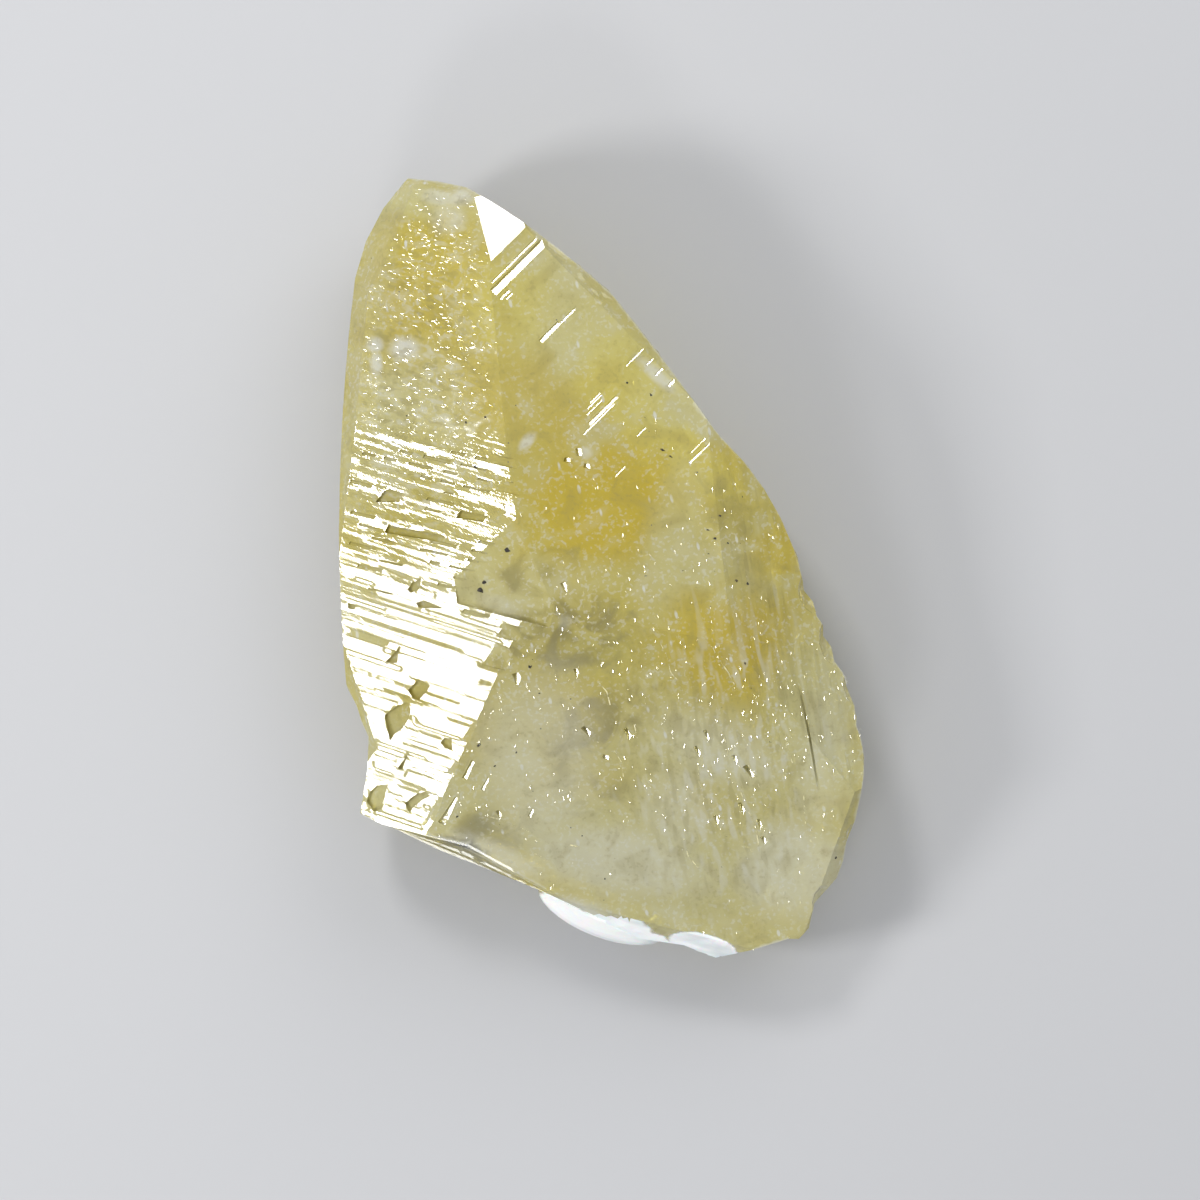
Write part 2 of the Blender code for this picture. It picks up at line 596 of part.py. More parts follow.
def add_boolean(body, tool, operation):
    """Join a solid to the crystal, or cut it out of it, with a live Boolean modifier."""
    modifier = body.modifiers.new(tool.name, "BOOLEAN")
    modifier.operation = operation
    modifier.solver = "MANIFOLD"
    modifier.object = tool


def build():
    """Model the crystal and keep its cutters in a collection of their own."""
    for item in list(bpy.data.objects):
        bpy.data.objects.remove(item)
    model = bpy.data.collections.new(NAME)
    cutters = bpy.data.collections.new(NAME + "_cutters")
    for collection in (model, cutters):
        bpy.context.scene.collection.children.link(collection)
    crystal = crystal_blank()
    crystal.data.materials.append(calcite_material())
    model.objects.link(crystal)
    cuts = ledge_cutters() + back_step_cutters()
    cuts += [sliver_cutter(), notch_cutter(), side_step_cutters(), ridge_bite_cutters(),
             pit_cutters(), groove_cutters(), streak_cutters(), furrow_cutters(), chip_cutters(),
             step_edge_cutters(), rim_chip_cutters()]
    tools = [("UNION", lip_solid())] + [("DIFFERENCE", cut) for cut in cuts]
    for operation, tool in tools:
        tool.hide_render = True
        tool.display_type = "WIRE"
        cutters.objects.link(tool)
        add_boolean(crystal, tool, operation)


build()
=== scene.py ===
"""Looks of the calcite specimen: a honey-coloured crystal lying on its back under studio lights."""
from __future__ import annotations

import logging
import math
from dataclasses import dataclass, field
from enum import Enum

import bmesh
import bpy
import numpy as np
from bmesh.types import BMFace, BMesh
from bpy.types import Curve, ID, Material, Mesh, NodeSocket, NodeTree, Object
from mathutils import Matrix, Vector, noise
from mathutils.bvhtree import BVHTree
from mathutils.geometry import delaunay_2d_cdt
from mathutils.kdtree import KDTree


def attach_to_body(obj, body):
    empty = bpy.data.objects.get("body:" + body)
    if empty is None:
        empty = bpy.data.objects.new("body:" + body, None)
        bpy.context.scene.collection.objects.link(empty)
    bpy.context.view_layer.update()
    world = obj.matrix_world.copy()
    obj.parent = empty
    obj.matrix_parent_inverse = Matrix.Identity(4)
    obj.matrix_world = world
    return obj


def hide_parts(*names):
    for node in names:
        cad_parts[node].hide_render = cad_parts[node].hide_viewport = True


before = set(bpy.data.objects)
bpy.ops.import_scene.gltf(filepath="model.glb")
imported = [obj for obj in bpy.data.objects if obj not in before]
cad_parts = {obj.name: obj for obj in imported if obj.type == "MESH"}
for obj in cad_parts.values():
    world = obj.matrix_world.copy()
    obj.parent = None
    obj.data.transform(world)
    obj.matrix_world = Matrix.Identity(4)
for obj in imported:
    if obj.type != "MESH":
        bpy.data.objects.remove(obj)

LOG = logging.getLogger("calcite")
MM = 0.001
NODE = "calcite_crystal"
# Mesh attribute of the painted rim glow: 1 on the points of sharp edges, where the colour is lightened to
# stand in for light glowing through thin edges
PAINTED_RIM_GLOW = "painted_rim_glow"
# Points this near are one (metres), and a triangle this small is none (square metres)
MERGE = 1e-7
NO_AREA = 1e-12
DOWN = Vector((0.0, 0.0, -1.0))

# Growth directions of the crystal, in degrees, the same as the solid's
LEFT_FACE = (188.0, 26.8)
LAMINA_AZIMUTH = -13.0
JOG_AZIMUTH = 57.0
FURROW_AZIMUTH = -79.0
STREAK_AZIMUTH = 45.0

Colour = tuple[float, float, float, float]
Pair = tuple[float, float]
# Where an ease starts and ends, and how much of a colour it brings in
Ease = tuple[float, float, float]


def heading(azimuth: float) -> Vector:
    """Return the unit vector in the XY plane at an azimuth in degrees."""
    angle = math.radians(azimuth)
    return Vector((math.cos(angle), math.sin(angle), 0.0))


def direction(azimuth: float, elevation: float) -> Vector:
    """Return the unit vector at an azimuth and an elevation in degrees."""
    rise = math.radians(elevation)
    return heading(azimuth) * math.cos(rise) + Vector((0.0, 0.0, math.sin(rise)))


def face_normal(azimuth: float, dip: float) -> Vector:
    """Return the normal of a front face that falls towards an azimuth by a dip in degrees."""
    return direction(azimuth, 90.0 - dip)


def add_object(name: str, data: ID) -> Object:
    """Add an object to the scene.

    Args:
        name: Its name.
        data: Its mesh, curve, light or camera.

    Returns:
        The object.
    """
    made = bpy.data.objects.new(name, data)
    bpy.context.scene.collection.objects.link(made)
    return made


def to_mesh(name: str, bm: BMesh) -> Mesh:
    """Turn a bmesh into a mesh.

    Args:
        name: The mesh's name.
        bm: The bmesh, freed afterwards.

    Returns:
        The mesh.
    """
    mesh = bpy.data.meshes.new(name)
    bm.to_mesh(mesh)
    bm.free()
    return mesh


def merged_solid() -> BMesh:
    """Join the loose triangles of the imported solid.

    Returns:
        The joined solid.
    """
    bm = bmesh.new()
    bm.from_mesh(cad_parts[NODE].data)
    bmesh.ops.remove_doubles(bm, verts=bm.verts, dist=MERGE)
    bm.normal_update()
    return bm


def drop(cover: BVHTree, x: float, y: float) -> Vector | None:
    """Return where a point dropped from 1 above an x and a y lands on a surface, if it does."""
    return cover.ray_cast(Vector((x, y, 1.0)), DOWN)[0]


class Front:
    """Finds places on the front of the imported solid."""

    def __init__(self) -> None:
        """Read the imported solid."""
        solid = bmesh.new()
        solid.from_mesh(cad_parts[NODE].data)
        self.cover = BVHTree.FromBMesh(solid)
        solid.free()

    def at(self, x: float, y: float) -> Vector:
        """Return the place on the front at an x and a y in millimetres."""
        return drop(self.cover, x * MM, y * MM)


# ----- Shader maths


class Value:
    """A node socket that can be used in Python expressions."""

    def __init__(self, tree: Graph, socket: NodeSocket) -> None:
        """Wrap a socket of a node tree."""
        self.tree = tree
        self.socket = socket

    def _maths(self, operation: str, first: object, second: object) -> Value:
        """Add one Math node on two operands and return its result."""
        return self.tree.add("ShaderNodeMath", {"operation": operation}, {0: first, 1: second})

    def __add__(self, other: object) -> Value:
        """Return self + other."""
        return self._maths("ADD", self, other)

    def __radd__(self, other: object) -> Value:
        """Return other + self."""
        return self._maths("ADD", other, self)

    def __sub__(self, other: object) -> Value:
        """Return self - other."""
        return self._maths("SUBTRACT", self, other)

    def __rsub__(self, other: object) -> Value:
        """Return other - self."""
        return self._maths("SUBTRACT", other, self)

    def __mul__(self, other: object) -> Value:
        """Return self * other."""
        return self._maths("MULTIPLY", self, other)

    def __rmul__(self, other: object) -> Value:
        """Return other * self."""
        return self._maths("MULTIPLY", other, self)

    def output(self, name: str) -> Value:
        """Return another output of the node that this value comes from."""
        return Value(self.tree, self.socket.node.outputs[name])

    def between(self, low: float, high: float) -> Value:
        """Ease self from 0 at low to 1 at high, which may be under low."""
        settings = {"interpolation_type": "SMOOTHSTEP"}
        return self.tree.add("ShaderNodeMapRange", settings, {"Value": self, 1: low, 2: high})


class Graph:
    """A node tree that is built one node at a time."""

    def __init__(self, tree: NodeTree) -> None:
        """Wrap a node tree."""
        self.tree = tree

    def add(self, kind: str, settings: dict[str, object], values: dict[object, object],
            result: object = 0) -> Value:
        """Add a node, set it, then fill its sockets.

        Args:
            kind: The node's type name.
            settings: Properties set before the sockets are filled.
            values: Numbers, vectors or wrapped sockets for the node's inputs.
            result: Name or place of the output to return.

        Returns:
            The wrapped output.
        """
        node = self.tree.nodes.new(kind)
        for name, setting in settings.items():
            setattr(node, name, setting)
        for name, value in values.items():
            if isinstance(value, Value):
                self.tree.links.new(value.socket, node.inputs[name])
            else:
                node.inputs[name].default_value = value
        return Value(self, node.outputs[result])


class Shading(Graph):
    """Builds one material's node tree."""

    def __init__(self, name: str) -> None:
        """Start a material with an empty tree.

        Args:
            name: The material's name.
        """
        self.material = bpy.data.materials.new(name)
        self.material.use_nodes = True
        super().__init__(self.material.node_tree)
        self.tree.nodes.clear()

    def place(self, turn: float = 0.0, stretch: float = 1.0) -> Value:
        """Return Object coordinates turned about Z and stretched.

        Args:
            turn: Azimuth in degrees of the new X axis.
            stretch: How much longer a pattern gets along that axis.

        Returns:
            The wrapped vector.
        """
        where = self.add("ShaderNodeTexCoord", {}, {}, "Object")
        return self.add("ShaderNodeMapping", {"vector_type": "TEXTURE"},
                        {"Vector": where, "Rotation": (0.0, 0.0, math.radians(turn)),
                         "Scale": (stretch, 1.0, 1.0)})

    def noise(self, where: Value, scale: float, detail: float = 3.0, distortion: float = 0.0) -> Value:
        """Return fractal noise over a vector.

        Args:
            where: The wrapped vector.
            scale: Features per metre.
            detail: Octaves.
            distortion: How much the pattern is warped.

        Returns:
            The wrapped noise value.
        """
        values = {"Vector": where, "Scale": scale, "Detail": detail, "Distortion": distortion}
        return self.add("ShaderNodeTexNoise", {}, values, "Fac")

    def dots(self, where: Value, scale: float, radius: float, share: float) -> Value:
        """Return small round dots, one at most to a cell.

        Args:
            where: The wrapped vector.
            scale: Cells per metre.
            radius: Radius of a dot, as a share of a cell.
            share: Share of the cells that have one.

        Returns:
            The wrapped mask.
        """
        distance = self.add("ShaderNodeTexVoronoi", {}, {"Vector": where, "Scale": scale}, "Distance")
        chance = self.add("ShaderNodeSeparateColor", {}, {"Color": distance.output("Color")}, 0)
        return distance.between(radius, radius * 0.5) * chance.between(share + 0.01, share - 0.01)

    def mix(self, factor: object, first: object, second: object) -> Value:
        """Return two colours blended by the second one's share."""
        return self.add("ShaderNodeMix", {"data_type": "RGBA"},
                        {"Factor": factor, 6: first, 7: second}, 2)

    def finish(self, values: dict[str, object], volume: Value | None = None) -> Material:
        """Add the surface shader and connect the output.

        Args:
            values: What the surface shader's sockets hold.
            volume: The shader of the inside, if there is one.

        Returns:
            The material.
        """
        surface = self.add("ShaderNodeBsdfPrincipled", {}, values)
        end = self.tree.nodes.new("ShaderNodeOutputMaterial")
        self.tree.links.new(surface.socket, end.inputs["Surface"])
        if volume is not None:
            self.tree.links.new(volume.socket, end.inputs["Volume"])
        return self.material


# ----- Finishes


@dataclass(frozen=True)
class Zone:
    """A soft oval patch on the front: middle and radii in millimetres, its lean in degrees."""

    x: float
    y: float
    long: float
    wide: float
    lean: float = 0.0
    strength: float = 1.0

    def distance(self, x: np.ndarray, y: np.ndarray) -> np.ndarray:
        """Measure how far points lie from the middle, as a share of the patch's radii.

        Args:
            x: Their x in millimetres.
            y: Their y in millimetres.

        Returns:
            0 in the middle of the patch, 1 on its border and more outside.
        """
        run = heading(self.lean)
        along = (x - self.x) * run.x + (y - self.y) * run.y
        across = (y - self.y) * run.x - (x - self.x) * run.y
        return np.hypot(along / self.long, across / self.wide)


class ZoneField:
    """Zones of one kind, kept on a mesh as a vector per point: distance, then strength."""

    sharpness: float = 4.0
    closest: float = 1e-3
    border: Pair = (1.15, 0.35)

    def __init__(self, name: str, *zones: tuple[float, ...]) -> None:
        """Name the field and read the values of its zones."""
        self.name = name
        self.zones = [Zone(*zone) for zone in zones]

    def store(self, mesh: Mesh) -> None:
        """Write the field onto a mesh's points.

        Args:
            mesh: The mesh, in metres of the shared frame.
        """
        flat = np.empty(len(mesh.vertices) * 3)
        mesh.vertices.foreach_get("co", flat)
        x, y, _ = flat.reshape(-1, 3).T / MM
        distances = np.array([zone.distance(x, y) for zone in self.zones]) + self.closest
        weights = distances ** -self.sharpness
        strengths = np.array([zone.strength for zone in self.zones])
        strength = (weights * strengths[:, None]).sum(axis=0) / weights.sum(axis=0)
        values = np.stack([distances.min(axis=0), strength, np.zeros_like(x)], axis=1)
        layer = mesh.attributes.new(self.name, "FLOAT_VECTOR", "POINT")
        layer.data.foreach_set("vector", values.ravel())

    def mask(self, shading: Shading, wobble: object) -> Value:
        """Read the field back, from 0 outside its zones to their strength inside.

        Args:
            shading: The tree that it is added to.
            wobble: A value about 0 that makes the edges uneven.

        Returns:
            The wrapped mask.
        """
        stored = shading.add("ShaderNodeAttribute", {"attribute_name": self.name}, {}, "Vector")
        distance = shading.add("ShaderNodeSeparateXYZ", {}, {0: stored}, "X")
        return (distance + wobble).between(*self.border) * distance.output("Y")


@dataclass(frozen=True)
class Mottle:
    """A noise, in features per metre, that frosts a colour where it's high and smokes it where it's low."""

    scale: float
    detail: float
    frost: Ease
    smoke: Ease
    warp: float = 0.0
    turn: float = 0.0
    stretch: float = 1.0

    def pattern(self, s: Shading) -> Value:
        """Return the noise."""
        return s.noise(s.place(self.turn, self.stretch), self.scale, self.detail, self.warp)

    def stain(self, s: Shading, colour: Value, pattern: Value, tones: tuple[Colour, Colour],
              covers: tuple[object, object] = (1.0, 1.0)) -> Value:
        """Frost and smoke a colour.

        Args:
            s: The material's tree.
            colour: The wrapped colour so far.
            pattern: The noise.
            tones: The colours of frost and smoke.
            covers: Where there may be frost, and where smoke.

        Returns:
            The wrapped colour.
        """
        for (low, high, share), tone, cover in zip((self.frost, self.smoke), tones, covers):
            colour = s.mix(pattern.between(low, high) * cover * share, colour, tone)
        return colour


@dataclass(frozen=True)
class HoneyCalcite:
    """Clear to cloudy honey calcite."""

    honey: Colour = (0.74, 0.58, 0.06, 1.0)
    olive: Colour = (0.68, 0.58, 0.14, 1.0)
    gold: Colour = (0.87, 0.78, 0.22, 1.0)
    pale: Colour = (0.77, 0.72, 0.36, 1.0)
    # Milky white; also painted as highlights in two frost zones and as a glow along sharp rims
    frost: Colour = (0.93, 0.93, 0.84, 1.0)
    smoky: Colour = (0.40, 0.35, 0.14, 1.0)
    slate: Colour = (0.20, 0.21, 0.22, 1.0)
    absorption: Colour = (0.92, 0.90, 0.42, 1.0)
    density: float = 26.0
    ior: float = 1.58
    clearness: float = 0.55
    smoothest: float = 0.05
    roughening: float = 0.09
    wobble: Pair = (1.5, 1.3)
    smoke: Ease = (0.66, 0.4, 1.35)
    # Strength of the painted rim glow along sharp edges
    rim_glow: float = 0.7
    bump_depth: float = 0.04
    medium: Mottle = Mottle(300.0, 4.0, (0.5, 0.8, 0.26), (0.5, 0.28, 0.3), warp=0.9)
    grain: Mottle = Mottle(2600.0, 1.0, (0.53, 0.68, 0.4), (0.45, 0.3, 0.25))
    layers: Mottle = Mottle(1500.0, 1.0, (0.54, 0.7, 0.42), (0.46, 0.32, 0.4), 0.0, LAMINA_AZIMUTH, 4.5)
    steep: Mottle = Mottle(1200.0, 1.0, (0.54, 0.7, 0.45), (0.46, 0.34, 0.3), 0.0, FURROW_AZIMUTH, 7.0)
    honey_field: ZoneField = ZoneField(
        "honey_field",
        (-0.5, 6.5, 9, 6.5, 20), (-16, 26, 9, 7, 70, 0.6), (-9, 17, 9, 6, -30, 0.5),
        (11, -6.5, 6.5, 6, 0, 0.9), (9.5, 9.4, 5, 3, -50), (15.5, 1.5, 3.5, 2.6, 60, 0.7),
        (-3, 14.5, 7, 4, 40, 0.5),
    )
    gold_field: ZoneField = ZoneField(
        "gold_field",
        (1.7, 18, 9, 5, -50, 0.55), (-8, 24, 5, 6, 0, 0.45), (9, 10, 6, 2.5, -52, 0.6),
        (-0.5, -7.5, 3, 2, 0, 0.4),
    )
    pale_field: ZoneField = ZoneField(
        "pale_field",
        (6.5, 3, 8, 2.6, 75, 0.5), (1, -24.5, 11, 5, -8, 0.85), (17, -27, 7, 6, 0, 0.8),
        (18.5, -15, 10, 4, 85, 0.7), (-21.5, 24, 11, 2, 80, 0.45), (-17, 34, 4, 2, -10, 0.8),
        (10, -16, 8, 4, -20, 0.5), (3, 24, 5, 1.6, -50, 0.6), (-3, -0.6, 6, 1.8, 0, 0.3),
        (7, 17, 8, 1.2, -53, 0.4),
    )
    smoky_field: ZoneField = ZoneField(
        "smoky_field",
        (0, -14, 5, 2.4, 28, 0.6), (-1, -20.5, 3.4, 1.8, 10, 0.4), (-9.6, -7, 4.5, 3, 60, 0.5),
        (-11, -23.8, 4, 2.2, -20, 0.35), (-4, -5.2, 5.5, 3.2, 0, 0.7), (12.6, 3, 5, 2, -60, 0.3),
        (-7.6, -1.2, 3.4, 1.6, -20, 0.5), (-5, 0.4, 3, 1.6, 10, 0.35),
    )
    # Milky frost patches; the zone at (-12.8, 34.1) by the tip and the thin one along the right rim at
    # (5.2, 17.6) are painted highlights that stand in for reflections
    frost_and_highlight_field: ZoneField = ZoneField(
        "frost_and_highlight_field",
        (-1.5, -32.6, 6.5, 2.6, -20), (9, -34.9, 4.6, 1.5, -12, 0.9), (4.6, -34.2, 2.4, 0.8, -8, 0.9),
        (-12.8, 34.1, 1.5, 1.1, 0, 0.8), (-14.5, 34, 2.6, 0.9, -12, 0.6), (-14, 32, 1.6, 1.6, 0, 0.4),
        (-18, 20.2, 1.7, 1.3, 0, 0.9), (-20.8, 20.6, 0.9, 0.8, 0, 0.9), (-20.7, 18.8, 0.7, 1.4, 0, 0.8),
        (-13.6, 32, 1.5, 1.5, 0, 0.6), (5.2, 17.6, 3, 0.8, -42, 0.8), (-1.4, 10.6, 0.8, 0.8, 0, 0.7),
        (-3.4, -4.8, 0.7, 0.7, 0, 0.3), (-6.8, 11.6, 1.2, 0.6, 50, 0.8), (-9.3, -3.3, 3, 1.2, -20, 0.35),
        (18, -28, 7, 6, 0, 0.5), (2, -27, 11, 4, -10, 0.5), (20.5, -17, 9, 3, 85, 0.25),
        (10.6, -16.6, 7, 3.6, -24, 0.35), (-6, -17.5, 7, 9, 0, 0.4), (7, -22, 4, 5, 0, 0.35),
        (-10, -26.2, 6.5, 1.6, -23, 0.6),
    )
    slate_field: ZoneField = ZoneField(
        "slate_field",
        (-12.9, -25.3, 3.4, 0.55, -19), (-11.3, -23.6, 2.6, 1.4, 40, 0.3),
        (-13.5, -26.4, 8, 1.2, -23.5, 0.5),
    )
    left_field: ZoneField = ZoneField("left_field", (-17.0, 16.0, 22.0, 7.5, 82.0))
    right_field: ZoneField = ZoneField("right_field", (12.0, -17.0, 18.0, 11.0, 80.0))

    def dress(self, mesh: Mesh) -> None:
        """Write the zones' fields onto a mesh that the material is used on."""
        for zones in (value for value in vars(self).values() if isinstance(value, ZoneField)):
            zones.store(mesh)

    def _clouds(self, s: Shading, broad: Value, medium: Value) -> Value:
        """Make the slow changes of colour.

        Args:
            s: The material's tree.
            broad: Noise about a centimetre wide.
            medium: Noise a few millimetres wide.

        Returns:
            The wrapped colour.
        """
        wobble = (broad - 0.5) * self.wobble[0] + (medium - 0.5) * self.wobble[1]
        colour = s.mix(broad.between(0.32, 0.7), self.olive, self.pale)
        for zones, tone in ((self.honey_field, self.honey), (self.gold_field, self.gold),
                            (self.pale_field, self.pale)):
            colour = s.mix(zones.mask(s, wobble), colour, tone)
        low, high, share = self.smoke
        patchy = self.smoky_field.mask(s, wobble * 1.3) * medium.between(low, high)
        colour = s.mix(patchy * share, colour, self.smoky)
        # Frost patches, with painted highlights at the tip and along the right rim
        colour = s.mix(self.frost_and_highlight_field.mask(s, wobble * 0.6), colour, self.frost)
        return s.mix(self.slate_field.mask(s, wobble * 0.3), colour, self.slate)

    def _grain(self, s: Shading, where: Value, medium: Value, colour: Value) -> Value:
        """Add wisps, layers, frost and specks to a colour.

        Args:
            s: The material's tree.
            where: Object coordinates.
            medium: Noise a few millimetres wide.
            colour: The wrapped colour so far.

        Returns:
            The wrapped colour.
        """
        tones = (self.frost, self.smoky)
        colour = self.medium.stain(s, colour, medium, tones)
        patches = (medium.between(0.38, 0.58), medium.between(0.56, 0.38))
        colour = self.grain.stain(s, colour, self.grain.pattern(s), tones, patches)
        for mottle, area in ((self.layers, self.left_field), (self.steep, self.right_field)):
            cover = area.mask(s, medium - 0.5)
            colour = mottle.stain(s, colour, mottle.pattern(s), tones, (cover, cover))
        slim = s.dots(s.place(FURROW_AZIMUTH + 3.0, 2.6), scale=1000.0, radius=0.2, share=0.22)
        colour = s.mix(slim * medium.between(0.3, 0.55), colour, self.frost)
        specks = s.dots(where, scale=700.0, radius=0.07, share=0.22)
        return s.mix(specks * 0.85, colour, self.slate)

    def make(self) -> Material:
        """Build the material.

        Returns:
            The material.
        """
        s = Shading("honey_calcite")
        where = s.place()
        broad = s.noise(where, scale=75.0, detail=2.0)
        medium = self.medium.pattern(s)
        colour = self._grain(s, where, medium, self._clouds(s, broad, medium))
        # Painted rim glow: sharp edges lightened towards frost white, standing in for light glowing through
        # thin edges
        painted_rim_glow = s.add("ShaderNodeAttribute", {"attribute_name": PAINTED_RIM_GLOW}, {}, "Fac")
        rim_glow = painted_rim_glow.between(0.4, 1.0) * broad.between(0.25, 0.55) * self.rim_glow
        bump = s.add("ShaderNodeBump", {}, {"Strength": 0.3, "Distance": self.bump_depth * MM,
                                            "Height": s.noise(where, scale=1800.0, detail=0.0)})
        volume = s.add("ShaderNodeVolumeAbsorption", {},
                       {"Color": self.absorption, "Density": self.density})
        return s.finish({
            "Base Color": s.mix(rim_glow, colour, self.frost), "IOR": self.ior,
            "Roughness": self.smoothest + medium.between(0.45, 0.8) * self.roughening,
            "Transmission Weight": self.clearness, "Normal": bump}, volume)


@dataclass(frozen=True)
class DarkGrain:
    """Nearly black iron-stained grains."""

    colour: Colour = (0.018, 0.014, 0.008, 1.0)
    rust: Colour = (0.07, 0.045, 0.015, 1.0)

    def make(self) -> Material:
        """Build the material.

        Returns:
            The material.
        """
        s = Shading("dark_grain")
        blend = s.noise(s.place(), scale=2500.0, detail=2.0).between(0.5, 0.7)
        return s.finish({"Base Color": s.mix(blend, self.colour, self.rust), "Roughness": 0.6})


@dataclass(frozen=True)
class PaleVeil:
    """Thin milky veils along healed cracks inside the crystal."""

    colour: Colour = (0.90, 0.88, 0.74, 1.0)
    cover: float = 0.5

    def make(self) -> Material:
        """Build the material.

        Returns:
            The material.
        """
        s = Shading("pale_veil")
        cloud = s.noise(s.place(), scale=1500.0, detail=4.0).between(0.4, 0.68)
        return s.finish({"Base Color": self.colour, "Roughness": 0.5, "Alpha": cloud * self.cover})


PEARLY_AREAS = ZoneField(
    "pearly_field", (-0.6, -32.7, 7, 2.7, -20), (9.4, -35, 4, 1.6, -14), (4.4, -34.3, 2.4, 0.8, -10, 0.8))


@dataclass(frozen=True)
class PearlyFilm:
    """White pearly surface of a smooth cleavage."""

    colour: Colour = (0.95, 0.96, 0.95, 1.0)
    shade: Colour = (0.72, 0.76, 0.76, 1.0)
    azimuth: float = -21.0

    def make(self) -> Material:
        """Build the material.

        Returns:
            The material.
        """
        s = Shading("pearly_film")
        bands = s.noise(s.place(self.azimuth, 5.0), scale=500.0).between(0.42, 0.7)
        uneven = (s.noise(s.place(), scale=900.0, detail=2.0) - 0.5) * 0.25
        return s.finish({
            "Base Color": s.mix(bands, self.colour, self.shade), "Roughness": 0.3,
            "Subsurface Weight": 0.3, "Subsurface Scale": MM,
            "Alpha": PEARLY_AREAS.mask(s, uneven).between(0.25, 0.45),
            "Coat Weight": 0.4, "Coat Roughness": 0.15})


@dataclass(frozen=True)
class StudioPaper:
    """Pale seamless paper under the crystal."""

    colour: Colour = (0.50, 0.50, 0.51, 1.0)
    shade: Colour = (0.4, 0.4, 0.4, 1.0)

    def make(self) -> Material:
        """Build the material.

        Returns:
            The material.
        """
        s = Shading("studio_paper")
        grain = s.noise(s.place(), scale=700.0, detail=2.0) * 0.04
        return s.finish({"Base Color": s.mix(grain, self.colour, self.shade), "Roughness": 0.9})


# ----- The crystal


class Flat(Enum):
    """What kind of surface a flat of the solid is."""

    GROWTH = "growth"
    MIRROR = "mirror"
    FLANK = "flank"
    BROKEN = "broken"
    REST = "rest"
    SMALL = "small"


@dataclass(frozen=True)
class Weave:
    """How the fine mesh of one kind of flat is laid out, in millimetres and degrees."""

    along: float
    across: float
    azimuth: float
    lean: float = 90.0

    def shift(self) -> float:
        """Return how far along each row starts from the one before it."""
        return self.across / math.tan(math.radians(self.lean)) if self.lean < 90.0 else 0.0


WEAVES = {
    Flat.GROWTH: Weave(0.34, 0.09, LAMINA_AZIMUTH, JOG_AZIMUTH - LAMINA_AZIMUTH),
    Flat.MIRROR: Weave(0.55, 0.55, STREAK_AZIMUTH),
    Flat.FLANK: Weave(0.5, 0.22, FURROW_AZIMUTH),
    Flat.BROKEN: Weave(0.5, 0.5, 20.0),
    Flat.REST: Weave(0.9, 0.9, 0.0),
    Flat.SMALL: Weave(0.5, 0.5, 0.0),
}


@dataclass(frozen=True)
class Patch:
    """One flat of the solid: its normal, its triangles, its area in square millimetres."""

    normal: Vector
    faces: list[BMFace]
    area: float
    kind: Flat


@dataclass(frozen=True)
class Plane:
    """The plane of one flat, with the directions along and across its grid."""

    normal: Vector
    origin: Vector
    along: Vector
    across: Vector

    def flatten(self, point: Vector) -> Pair:
        """Return a point's place on the plane in millimetres."""
        local = point - self.origin
        return local.dot(self.along) / MM, local.dot(self.across) / MM

    def lift(self, u: float, v: float, height: float) -> Vector:
        """Return the point that lies over a place on the plane by a height in millimetres."""
        return self.origin + (self.along * u + self.across * v + self.normal * height) * MM


@dataclass
class Grid:
    """Inner points of one flat: places on its plane, rows and columns, and distance to its rim."""

    plane: Plane
    places: np.ndarray
    cells: np.ndarray
    rim: np.ndarray

    def world(self) -> np.ndarray:
        """Return the points in millimetres of the shared frame."""
        return (np.array(self.plane.origin) / MM + np.outer(self.places[:, 0], self.plane.along)
                + np.outer(self.places[:, 1], self.plane.across))

    def slope(self, facing: Vector) -> Pair:
        """Return the rise along and across the flat of a surface that faces a direction."""
        up = facing.dot(self.plane.normal)
        return -facing.dot(self.plane.along) / up, -facing.dot(self.plane.across) / up


